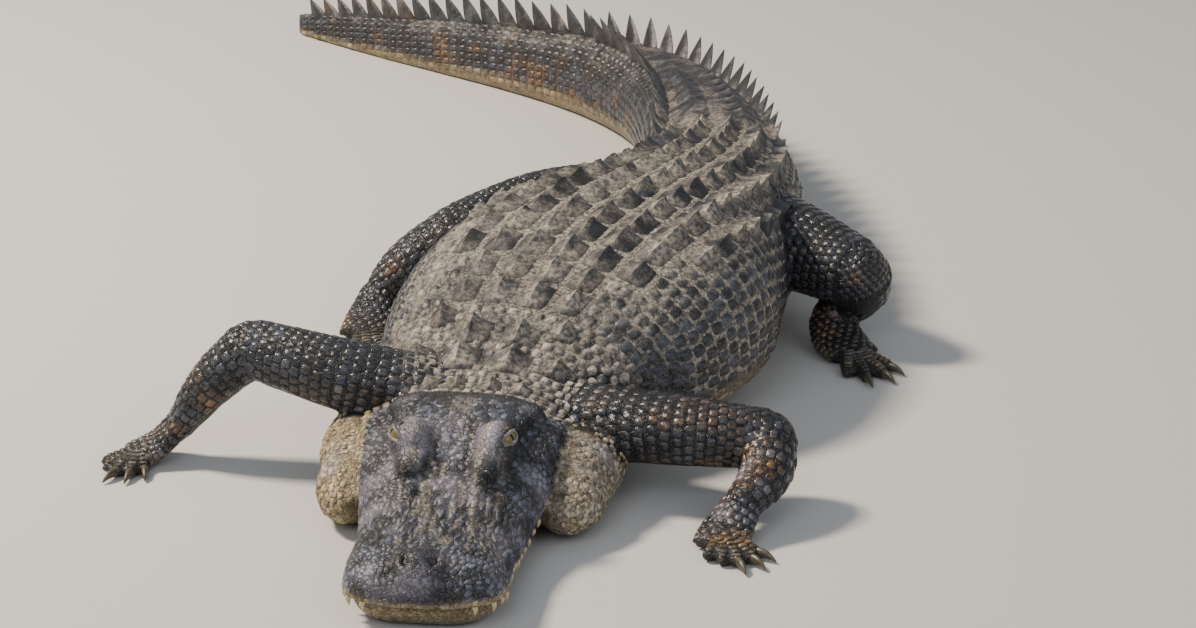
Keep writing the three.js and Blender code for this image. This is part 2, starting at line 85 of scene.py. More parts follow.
# Station, distance to the side, height, and half length, half width and half height of the jowls.
JOWLS = ((398, 130, 50, 84, 54, 50), (330, 128, 36, 82, 44, 38))
# Half width of the skull's table at its front and what it gains by its back, its top, how far its front
# falls, and the height it is rooted at.
TABLE_FRONT, TABLE_BACK = 236, 367
TABLE_HALF, TABLE_SPREAD, TABLE_TOP, TABLE_FALL, TABLE_ROOT = 30, 68, 147, 44, 104
UP = np.array([0.0, 0.0, 1.0])
GOLDEN_TURN = math.pi * (3 - math.sqrt(5))


def sample(table: np.ndarray, at: Values, column: int) -> np.ndarray:
    """Reads a smooth value from a table.

    Args:
        table: Rows that start with the place along the body.
        at: Where to read.
        column: Which value of the rows to read.

    Returns:
        The value at each place.
    """
    at = np.asarray(at, float)
    x, y = table[:, 0], table[:, column]
    i = np.clip(np.searchsorted(x, at, "left") - 1, 0, len(x) - 2)
    k = np.arange(len(x))
    before, after = np.maximum(k - 1, 0), np.minimum(k + 1, len(x) - 1)
    slope = (y[after] - y[before]) / (x[after] - x[before])
    span = x[i + 1] - x[i]
    t = (at - x[i]) / span
    rise = y[i + 1] - y[i]
    m0, m1 = slope[i] * span, slope[i + 1] * span
    return y[i] + t * (m0 + t * (3 * rise - 2 * m0 - m1 + t * (m0 + m1 - 2 * rise)))


def bulge(value: np.ndarray, power: float) -> np.ndarray:
    """Raises a signed value to a power and keeps its sign."""
    return np.sign(value) * np.abs(value) ** power


def unit(vectors: np.ndarray) -> np.ndarray:
    """Scales vectors to length one."""
    return vectors / np.maximum(np.linalg.norm(vectors, axis=-1, keepdims=True), 1e-9)


def smoothstep(low: float, high: float, value: np.ndarray) -> np.ndarray:
    """Rises smoothly from 0 at low to 1 at high."""
    t = np.clip((value - low) / (high - low), 0, 1)
    return t * t * (3 - 2 * t)


def noise(points: np.ndarray, cell: float, seed: int = 0) -> np.ndarray:
    """Makes smooth value noise in space.

    Args:
        points: Places in millimetres.
        cell: The size of the noise's cells in millimetres.
        seed: Which noise to make.

    Returns:
        A value from -1 to 1 for each place.
    """
    p = points / cell + 37.7 * seed
    base = np.floor(p).astype(np.int64)
    f = p - base
    f = f * f * (3 - 2 * f)
    total = np.zeros(len(points))
    for corner in range(8):
        step = np.array([corner & 1, corner >> 1 & 1, corner >> 2 & 1])
        q = base + step
        h = (q[:, 0] * 73856093) ^ (q[:, 1] * 19349663) ^ (q[:, 2] * 83492791) ^ (seed * 2654435)
        h = (h ^ (h >> 13)) * 1274126177 & 0x7FFFFFFF
        value = ((h ^ (h >> 16)) & 0xFFFF) / 32767.5 - 1
        weight = np.prod(np.where(step == 1, f, 1 - f), axis=1)
        total += weight * value
    return total


@dataclass
class Spine:
    """The line of the back on the floor, with its directions."""

    headings: np.ndarray = field(default_factory=lambda: HEADINGS)

    def __post_init__(self) -> None:
        """Walks the spine in whole millimetres from the origin to both ends."""
        s = np.arange(TOTAL_LENGTH) + 0.5
        way = np.radians(sample(self.headings, s, 1))
        steps = np.stack([np.sin(way), np.cos(way)], 1)
        walked = np.vstack([np.zeros(2), np.cumsum(steps, axis=0)])
        self.places = walked - walked[ORIGIN_STATION]

    def frame(self, station: Values) -> tuple[np.ndarray, np.ndarray, np.ndarray]:
        """Gives the place on the floor and the directions to the tail and to the animal's left.

        Args:
            station: Place along the back in millimetres.

        Returns:
            The place and the two directions.
        """
        station = np.asarray(station, float)
        s = np.clip(station, 0, TOTAL_LENGTH)
        low = np.minimum(s.astype(int), TOTAL_LENGTH - 1)
        part = (s - low)[..., None]
        at = self.places[low] * (1 - part) + self.places[low + 1] * part
        way = np.radians(sample(self.headings, s, 1))
        zero = np.zeros_like(way)
        back = np.stack([np.sin(way), np.cos(way), zero], -1)
        left = np.stack([np.cos(way), -np.sin(way), zero], -1)
        at = np.concatenate([at, zero[..., None]], -1) + back * (station - s)[..., None]
        return at, back, left

    def point(self, station: Values, left: Values,
              height: Values) -> np.ndarray:
        """Places a point from its station, its distance to the left and its height.

        Args:
            station: Place along the back in millimetres.
            left: Distance to the animal's left.
            height: Height over the floor.

        Returns:
            The point in millimetres.
        """
        at, _, side = self.frame(station)
        return at + side * np.asarray(left, float)[..., None] + UP * np.asarray(height, float)[..., None]


SPINE = Spine()


def body_point(station: Values, angle: Values, swell: float = 0) -> np.ndarray:
    """Gives a point on the neck, trunk or tail.

    Args:
        station: Place along the back in millimetres.
        angle: Angle round the body, 0 in the middle of the back and positive on the left.
        swell: How far outside the named sizes it lies.

    Returns:
        The point in millimetres.
    """
    station, angle = np.broadcast_arrays(np.asarray(station, float), np.asarray(angle, float))
    middle = sample(BODY, station, 3)
    across = (sample(BODY, station, 1) + swell) * bulge(np.sin(angle), 2 / 2.35)
    rise = np.where(np.cos(angle) > 0, sample(BODY, station, 2) + swell - middle, middle + 8)
    height = np.maximum(middle + rise * bulge(np.cos(angle), 2 / 2.35), 0.5)
    return SPINE.point(station, across, height)


def skull_point(station: Values, angle: Values, inside: float = 0) -> np.ndarray:
    """Gives a point on the upper jaw and the skull, without the table and the brows.

    Args:
        station: Place along the head in millimetres.
        angle: Angle round it, 0 on top and positive on the left.
        inside: How far outside the named sizes it lies, less than 0 for inside.

    Returns:
        The point in millimetres.
    """
    station, angle = np.broadcast_arrays(np.asarray(station, float), np.asarray(angle, float))
    width = sample(HEAD, station, 1) + inside
    mouth = sample(HEAD, station, 3)
    rise = sample(HEAD, station, 2) + inside - mouth
    across = np.where(np.cos(angle) > 0, bulge(np.sin(angle), 0.7), np.sin(angle))
    return SPINE.point(station, width * across, mouth + rise * np.maximum(np.cos(angle), 0) ** 0.75)


class Girth:
    """Finds places by their distance round the body from the middle of the back."""

    def __init__(self, station: float) -> None:
        """Measures the girth at a station.

        Args:
            station: Place along the back in millimetres.
        """
        self.station = station
        self.angles = np.linspace(0, math.pi, 120)
        ring = body_point(station, self.angles)
        self.rounds = np.concatenate([[0], np.cumsum(np.linalg.norm(np.diff(ring, axis=0), axis=1))])

    def angle(self, distance: Values) -> np.ndarray:
        """Gives the angle at a signed distance round the body."""
        distance = np.asarray(distance, float)
        return np.sign(distance) * np.interp(np.abs(distance), self.rounds, self.angles)


class Mesher:
    """Collects points and faces in millimetres and makes one Blender mesh of them."""

    def __init__(self) -> None:
        """Starts with nothing."""
        self.points: list[np.ndarray] = []
        self.faces: list[list[int]] = []
        self.count = 0
        self.roots: list[np.ndarray] = []

    def add(self, points: np.ndarray, faces: list[list[int]], root: tuple[float, float] = (0.5, 0.5),
            local: np.ndarray | None = None) -> None:
        """Adds a shape.

        Args:
            points: Its points.
            faces: Its faces, as indices of its points.
            root: Where it grows on the unwrapped skin.
            local: Its points in its own axes, which spread it over a small patch there.
        """
        self.points.append(points)
        self.faces += [[i + self.count for i in face] for face in faces]
        flat = np.zeros((len(points), 2)) if local is None else local[:, :2]
        flat = flat / max(float(np.ptp(flat)), 1e-6)
        self.roots.append(np.array(root) + PATCH * flat)
        self.count += len(points)

    def make(self, name: str) -> Piece:
        """Makes the mesh object, in metres at the origin.

        Args:
            name: The piece's name.

        Returns:
            The object.
        """
        mesh = bpy.data.meshes.new(name)
        points = np.concatenate(self.points)
        points[:, 2] = np.maximum(points[:, 2], 0.2)
        mesh.from_pydata((points * MM).tolist(), [], self.faces)
        mesh.validate()
        piece = bpy.data.objects.new(name, mesh)
        bpy.context.collection.objects.link(piece)
        return piece

    def write_roots(self, piece: Piece) -> None:
        """Writes the map that sets each small plate as a patch at its root's place on the unwrapped skin.

        Args:
            piece: The object that make gave.
        """
        mesh = piece.data
        layer = mesh.uv_layers.new(name="OFBake")
        roots = np.concatenate(self.roots)
        loops = np.zeros(len(mesh.loops), int)
        mesh.loops.foreach_get("vertex_index", loops)
        layer.data.foreach_set("uv", roots[loops].astype(np.float32).ravel())


def tube_faces(rings: int, sides: int) -> list[list[int]]:
    """Lists the faces of a closed tube of rings, with both ends filled.

    Args:
        rings: How many rings it has.
        sides: How many points a ring has.

    Returns:
        The faces, as indices of its points.
    """
    faces = []
    for r in range(rings - 1):
        for k in range(sides):
            a, b = r * sides + k, r * sides + (k + 1) % sides
            faces.append([a, b, b + sides, a + sides])
    faces.append(list(range(sides))[::-1])
    faces.append([(rings - 1) * sides + k for k in range(sides)])
    return faces


def ball(centre: np.ndarray, axes: np.ndarray, radii: tuple[float, float, float], sides: int = 24) -> tuple:
    """Makes an ellipsoid as points and faces.

    Args:
        centre: Its middle.
        axes: Its three directions.
        radii: Its half size along each of them.
        sides: How many points a ring has.

    Returns:
        Its points and its faces.
    """
    lat = np.linspace(0.04, math.pi - 0.04, sides // 2 + 1)
    lon = np.arange(sides) * 2 * math.pi / sides
    grid = np.stack(np.meshgrid(lat, lon, indexing="ij"), -1).reshape(-1, 2)
    local = np.stack([np.sin(grid[:, 0]) * np.cos(grid[:, 1]), np.sin(grid[:, 0]) * np.sin(grid[:, 1]),
                      np.cos(grid[:, 0])], 1) * np.array(radii)
    return centre + local @ axes, [face[::-1] for face in tube_faces(len(lat), sides)]


def spine_ball(station: float, left: float, height: float, along: float, wide: float, tall: float) -> tuple:
    """Makes an ellipsoid with its axes along the spine's directions.

    Args:
        station: Place along the back.
        left: Distance to the animal's left.
        height: Height of its middle.
        along: Half its length.
        wide: Half its width.
        tall: Half its height.

    Returns:
        Its points and its faces.
    """
    _, back, side = SPINE.frame(station)
    centre = SPINE.point(station, left, height)
    return ball(centre, np.array([side, back, [0, 0, 1]]), (wide, along, tall))


@dataclass
class LimbSection:
    """A stretch of a limb with its own rows: place, x, y, z, half width, half height."""

    rows: np.ndarray

    def centre(self, at: Values) -> np.ndarray:
        """Gives the middle of the limb."""
        return np.stack([sample(self.rows, at, c) for c in (1, 2, 3)], -1)

    def axes(self, at: Values) -> tuple[np.ndarray, np.ndarray, np.ndarray]:
        """Gives the directions along the limb, to its side and up from it.

        Args:
            at: Place along the limb, in rows.

        Returns:
            The three directions.
        """
        along = unit(self.centre(np.asarray(at, float) + 0.05) - self.centre(np.asarray(at, float) - 0.05))
        rise = unit(np.array([0, 0, 1.0]) - along * along[..., 2:3])
        return along, np.cross(along, rise), rise

    def point(self, at: Values, angle: Values, swell: float = 0) -> np.ndarray:
        """Gives a point on the limb's surface.

        Args:
            at: Place along the limb, in rows.
            angle: Angle round it, 0 on top.
            swell: How far outside the named sizes it lies.

        Returns:
            The point in millimetres.
        """
        at, angle = np.broadcast_arrays(np.asarray(at, float), np.asarray(angle, float))
        _, side, rise = self.axes(at)
        across = (sample(self.rows, at, 4) + swell) * np.sin(angle)
        lift = (sample(self.rows, at, 5) + swell) * np.cos(angle)
        return self.centre(at) + side * across[..., None] + rise * lift[..., None]

    def tube(self, rings: int, sides: int, swell: float = 0) -> tuple:
        """Makes the stretch as points and faces.

        Args:
            rings: How many rings it has.
            sides: How many points a ring has.
            swell: How far outside the named sizes it lies.

        Returns:
            Its points and its faces.
        """
        at = np.linspace(self.rows[0, 0], self.rows[-1, 0], rings)
        angle = np.arange(sides) * 2 * math.pi / sides
        grid = self.point(at[:, None], angle[None, :], swell)
        return grid.reshape(-1, 3), tube_faces(rings, sides)


@dataclass
class Limb:
    """One leg: two lengths, a foot, its toes and its claws."""

    name: str
    rows: np.ndarray
    root: float
    headings: tuple
    lengths: tuple
    inner: int

    def section(self, start: int, end: int) -> LimbSection:
        """Picks the rows of one length of the leg."""
        keep = (self.rows[:, 0] >= start) & (self.rows[:, 0] <= end)
        return LimbSection(self.rows[keep])

    def toe_rows(self, number: int) -> np.ndarray:
        """Gives a toe's rows: it arches from the foot to the floor.

        Args:
            number: Which toe.

        Returns:
            Place, x, y, z, half width and half height.
        """
        wide = 10 if self.name.startswith("fore") else 12
        root = self.section(4, 6).centre(self.root)
        way = math.radians(self.headings[number])
        step = np.array([math.sin(way), math.cos(way)]) * self.lengths[number]
        rows = [(-0.3, 10, 0.9 * wide, 12), (0.3, 11, wide, 12.5), (0.7, 9, 0.92 * wide, 10.5),
                (1, 7.5, 0.76 * wide, 9)]
        return np.array([(at, *(root[:2] + step * at), z, w, h) for at, z, w, h in rows])

    def claw_rows(self, number: int) -> np.ndarray:
        """Gives a claw's rows: it carries on from the toe and bends to the floor.

        Args:
            number: Which toe it is on.

        Returns:
            Place, x, y, z, half width and half height.
        """
        root = self.section(4, 6).centre(self.root)
        way = math.radians(self.headings[number])
        ahead = np.array([math.sin(way), math.cos(way)])
        rows = [(-4, 7.6, 6), (0.3, 8, 6.5), (9, 8.5, 5.4), (18, 6.5, 3.4), (25, 3.2, 0.9)]
        reach = self.lengths[number]
        return np.array([(at, *(root[:2] + ahead * (reach + at)), z, 0.72 * h, h) for at, z, h in rows])

    def clawed(self) -> list[int]:
        """Lists the three inner toes, which carry claws."""
        order = list(range(len(self.headings)))
        return order[:3] if self.inner > 0 else order[::-1][:3]


# The rows where each length of a leg starts and ends: upper, lower, and hand or foot.
LENGTHS = ((0, 2), (2, 4), (4, 6))
# Each leg's rows (place, x, y, z, half width, half height), where its toes root, their headings in degrees
# and lengths, and which side the inner toe is on.
ALL_LIMBS = [
    Limb("fore_right", np.array(
        [(0, -154, -253, 92, 58, 50), (1, -286, -253, 128, 47, 44), (2, -396, -213, 146, 36, 37),
         (3, -448, -213, 98, 33, 30), (4, -484, -209, 48, 24, 20), (5, -516, -213, 20, 34, 15),
         (6, -550, -223, 9, 32, 11)], float), 5.4, (-112, -132, -150, -168, -186), (50, 58, 60, 54, 44), -1),
    Limb("fore_left", np.array(
        [(0, -24, -279, 82, 56, 46), (1, 116, -333, 88, 46, 42), (2, 220, -341, 80, 37, 37),
         (3, 216, -391, 57, 33, 30), (4, 188, -435, 38, 24, 20), (5, 170, -462, 18, 34, 15),
         (6, 156, -491, 9, 32, 11)], float), 5.4, (-232, -214, -196, -178, -154), (50, 58, 60, 54, 44), 1),
    Limb("hind_left", np.array(
        [(0, 152, 353, 112, 72, 66), (1, 256, 255, 124, 66, 62), (2, 358, 167, 106, 50, 48),
         (3, 362, 199, 66, 42, 38), (4, 326, 197, 36, 28, 24), (5, 338, 157, 18, 38, 17),
         (6, 356, 119, 10, 38, 12)], float), 5.6, (-176, -192, -208, -224), (76, 92, 90, 74), -1),
    Limb("hind_right", np.array(
        [(0, 66, 435, 112, 70, 62), (1, -54, 383, 124, 56, 52), (2, -164, 305, 116, 44, 42),
         (3, -232, 289, 78, 38, 34), (4, -272, 275, 40, 27, 24), (5, -282, 233, 18, 36, 17),
         (6, -290, 193, 10, 36, 12)], float), 5.6, (-216, -200, -184, -168), (74, 90, 92, 76), 1),
]


def eye_axes(side: int) -> tuple[np.ndarray, np.ndarray, np.ndarray]:
    """Gives the directions in which an eye looks, along its lids and over them.

    Args:
        side: 1 on the left, -1 on the right.

    Returns:
        The three directions.
    """
    _, back, left = SPINE.frame(EYE_STATION)
    up = np.array([0.0, 0.0, 1.0])
    gaze = unit(left * side * 0.78 - back * 0.48 + up * 0.4)
    along = unit(back * 0.86 + left * side * 0.3 + up * 0.1)
    along = unit(along - gaze * (along @ gaze))
    over = np.cross(gaze, along)
    return gaze, along, over if over[2] > 0 else -over


class Zone(IntEnum):
    """The four channels of the hide attribute: which markings a place has, the last being the painted shade
    in its grooves and seams.
    """

    MUD = 0
    PALE = 1
    TAN = 2
    # Painted shade, darkest in grooves, creases and seams between scales.
    GROOVE = 3


class FaceZone(IntEnum):
    """The channels of the face attribute: lilac round the eyes, pale dust on ridges, and a scale's tone."""

    LILAC = 0
    DUST = 1
    TONE = 2


class Cover(Enum):
    """What a place belongs to, for its markings."""

    BODY = "body"
    FLANK = "flank"
    LEG = "leg"


def near_station(points: np.ndarray) -> tuple[np.ndarray, np.ndarray]:
    """Finds the nearest station of the spine and the distance to its left for each point.

    Args:
        points: Places in millimetres.

    Returns:
        The stations and the distances.
    """
    coarse = SPINE.places[::12]
    best = np.empty(len(points), int)
    for i in range(0, len(points), 20000):
        block = points[i : i + 20000, None, :2] - coarse[None]
        best[i : i + 20000] = np.argmin((block**2).sum(-1), axis=1)
    station = best * 12.0
    at, back, left = SPINE.frame(station)
    away = points[:, :2] - at[:, :2]
    station = station + (away * back[:, :2]).sum(1)
    return station, (away * left[:, :2]).sum(1)


def markings(points: np.ndarray, cover: Cover = Cover.BODY) -> np.ndarray:
    """Says how muddy, pale and tan the hide is at each point.

    Args:
        points: Places in millimetres.
        cover: Whether they are on the body, on the scales of its flanks, or on a leg.

    Returns:
        The channels of Zone, with the painted shade left at 0.
    """
    station, left = near_station(points)
    away = np.abs(left)
    z = points[:, 2]
    blotch = noise(points, 60, 3)
    zones = np.zeros((len(points), 4))
    if cover is Cover.LEG:
        zones[:, Zone.MUD] = 0.3 * smoothstep(0.2, 0.7, blotch) * smoothstep(250, 130, away)
        zones[:, Zone.PALE] = 0.3 * smoothstep(34, 8, z)
        zones[:, Zone.TAN] = smoothstep(0.0, 0.5, noise(points, 34, 5)) * smoothstep(165, 70, z)
        return zones
    patch = noise(points, 24, 4)
    on_skull = np.clip(station, 0, 400)
    part = z / np.maximum(sample(BODY, np.clip(station, BODY_START, BODY_END), 2), 30)
    # Mud has dried on the back behind the head. It thins out down the flanks and along the tail.
    behind = smoothstep(366, 374, station - 0.22 * np.maximum(away - 60, 0) + 3 * patch)
    mud = (0.35 + 0.65 * smoothstep(0.5, 0.88, part + 0.1 * blotch)) * behind
    mud *= (0.72 + 0.4 * patch + 0.2 * blotch) * (1 - 0.6 * smoothstep(1150, 1600, station))
    mud *= np.where(station > 600, smoothstep(0.3, 0.62, part), 1)
    # The jowls, the throat, the belly and the front lip are pale.
    jowl = smoothstep(-2, 6, away - sample(HEAD, on_skull, 1)) * smoothstep(118, 104, z)
    jowl *= smoothstep(230, 270, station) * smoothstep(480, 440, station)
    under = smoothstep(1, -3, z - sample(CREASE, on_skull, 1)) * smoothstep(180, 240, station)
    jowl = np.maximum(jowl, 0.8 * under * (station < 400) * (away > 55))
    belly = 0.9 * smoothstep(0.34, 0.12, part + 0.05 * blotch) * (station > 420)
    lip = 0.9 * smoothstep(45, 38, z + 2 * patch) * smoothstep(110, 60, station)
    zones[:, Zone.MUD] = np.maximum(mud * (1 - 0.7 * jowl), (0.16 + 0.34 * (left > 0)) * jowl)
    if cover is Cover.FLANK:
        zones[:, Zone.MUD] *= 0.14 + 0.6 * smoothstep(0.72, 0.95, part)
    zones[:, Zone.PALE] = np.maximum.reduce([jowl, belly, lip])
    zones[:, Zone.TAN] = smoothstep(0.15, 0.5, noise(points, 26, 5)) * smoothstep(120, 30, z)
    zones[:, Zone.TAN] *= station > 380
    return zones


def face_marks(points: np.ndarray) -> np.ndarray:
    """Says where the head is lilac, round the eyes, and dusted pale, on the ridges and the table.

    Args:
        points: Places in millimetres.

    Returns:
        The channels of FaceZone, with the tone left at 0.
    """
    station, left = near_station(points)
    away = np.abs(left)
    z = points[:, 2]
    on_head = smoothstep(378, 368, station) * (z > 30)
    rim = smoothstep(346, 360, station) * (away < 105)
    lid = np.exp(-(((station - 262) / 30) ** 4) - ((away - 42) / 16) ** 4) * smoothstep(108, 120, z)
    curve = 24 + 0.00156 * np.maximum(station - 190, 0) ** 2 + 8 * np.sin((station - 190) / 30)
    ridge = np.exp(-(((away - curve) / 4.5) ** 2))
    ridge *= smoothstep(196, 226, station) * smoothstep(300, 270, station)
    table = np.exp(-(((station - 330) / 22) ** 2) - (left / 16) ** 2)
    # Pale streaks run lengthwise on the snout, about 5 mm wide and 24 mm long.
    lengthwise = np.stack([3.4 * left, 0.7 * station, 0.4 * z], 1)
    wear = smoothstep(0.08, 0.42, noise(lengthwise, 17, 12)) * smoothstep(76, 50, away)
    wear *= smoothstep(50, 95, station) * smoothstep(300, 230, station)
    blush = 0.45 * smoothstep(0, 0.8, noise(points, 30, 14)) * (1 - rim)
    marks = np.zeros((len(points), 4))
    marks[:, FaceZone.LILAC] = np.clip(0.95 * lid + blush, 0, 1) * on_head
    dust = np.clip(0.1 * lid + 0.75 * ridge + 0.7 * table + 0.7 * wear, 0, 1)
    marks[:, FaceZone.DUST] = dust * on_head * (1 - rim)
    return marks


def read_vertices(mesh: bpy.types.Mesh, what: str) -> np.ndarray:
    """Reads a mesh's points or normals.

    Args:
        mesh: The mesh.
        what: "co" or "normal".

    Returns:
        One row for each vertex.
    """
    values = np.zeros(len(mesh.vertices) * 3, np.float32)
    mesh.vertices.foreach_get(what, values)
    return values.reshape(-1, 3).astype(float)


def write_zones(piece: Piece, zones: np.ndarray, tones: Values = 0.5) -> None:
    """Writes the markings on a piece, and a tone for each scale, as the attributes that its finish reads.

    Args:
        piece: The piece.
        zones: The channels of Zone for each of its points.
        tones: How light each point is, from 0 to 1.
    """
    layer = piece.data.attributes.new("hide", "FLOAT_COLOR", "POINT")
    layer.data.foreach_set("color", np.clip(zones, 0, 1).astype(np.float32).ravel())
    marks = face_marks(read_vertices(piece.data, "co") / MM)
    marks[:, FaceZone.TONE] = tones
    layer = piece.data.attributes.new("face", "FLOAT_COLOR", "POINT")
    layer.data.foreach_set("color", marks.astype(np.float32).ravel())


def marked_piece(build: Mesher, name: str, zones: np.ndarray, tones: Values, degrees: float) -> Piece:
    """Makes a piece of small plates, with its markings and its map.

    Args:
        build: What collected the plates.
        name: The piece's name.
        zones: The channels of Zone for each point.
        tones: How light each point is, from 0 to 1.
        degrees: Edges sharper than this stay sharp.

    Returns:
        The piece.
    """
    piece = build.make(name)
    write_zones(piece, zones, tones)
    build.write_roots(piece)
    smooth_shade(piece, degrees)
    return piece


def only(piece: Piece) -> None:
    """Selects one object and makes it active.

    Args:
        piece: The object.
    """
    bpy.ops.object.select_all(action="DESELECT")
    piece.select_set(True)
    bpy.context.view_layer.objects.active = piece


def apply_modifier(piece: Piece, kind: str, **settings: object) -> None:
    """Adds a modifier with its settings and applies it.

    Args:
        piece: The object.
        kind: The modifier's type.
        settings: Its properties by name.
    """
    only(piece)
    modifier = piece.modifiers.new(kind.title(), kind)
    for key, value in settings.items():
        setattr(modifier, key, value)
    bpy.ops.object.modifier_apply(modifier=modifier.name)


def smooth_shade(piece: Piece, degrees: float = 180) -> None:
    """Shades a piece smooth, apart from edges sharper than an angle.

    Args:
        piece: The object.
        degrees: The angle.
    """
    only(piece)
    if degrees >= 180:
        bpy.ops.object.shade_smooth()
    else:
        bpy.ops.object.shade_smooth_by_angle(angle=math.radians(degrees))


def linear(code: str) -> tuple[float, float, float, float]:
    """Turns an sRGB hex colour into linear values."""
    values = [int(code[i : i + 2], 16) / 255 for i in (1, 3, 5)]
    return (*[v / 12.92 if v <= 0.04045 else ((v + 0.055) / 1.055) ** 2.4 for v in values], 1.0)


def add_node(tree: bpy.types.NodeTree, kind: str, settings: dict | None = None,
             links: dict | None = None) -> bpy.types.Node:
    """Adds a shader node.

    Args:
        tree: The material's node tree.
        kind: The node's type, without the words that all shader nodes' types start with.
        settings: Its properties by name, and its inputs' values by number or name.
        links: Sockets that feed its inputs, by number or name.

    Returns:
        The node.
    """
    node = tree.nodes.new("ShaderNode" + kind)
    for key, value in (settings or {}).items():
        if isinstance(key, int) or key in node.inputs:
            node.inputs[key].default_value = value
        else:
            setattr(node, key, value)
    for key, socket in (links or {}).items():
        tree.links.new(socket, node.inputs[key])
    return node


def empty_material(name: str) -> tuple[bpy.types.Material, bpy.types.NodeTree]:
    """Makes a material with no nodes yet.

    Args:
        name: What the material is.

    Returns:
        The material and its node tree.
    """
    made = bpy.data.materials.new(name)
    made.use_nodes = True
    made.node_tree.nodes.clear()
    return made, made.node_tree


RGBA = {"data_type": "RGBA"}
SMOOTH = {"interpolation_type": "SMOOTHSTEP"}


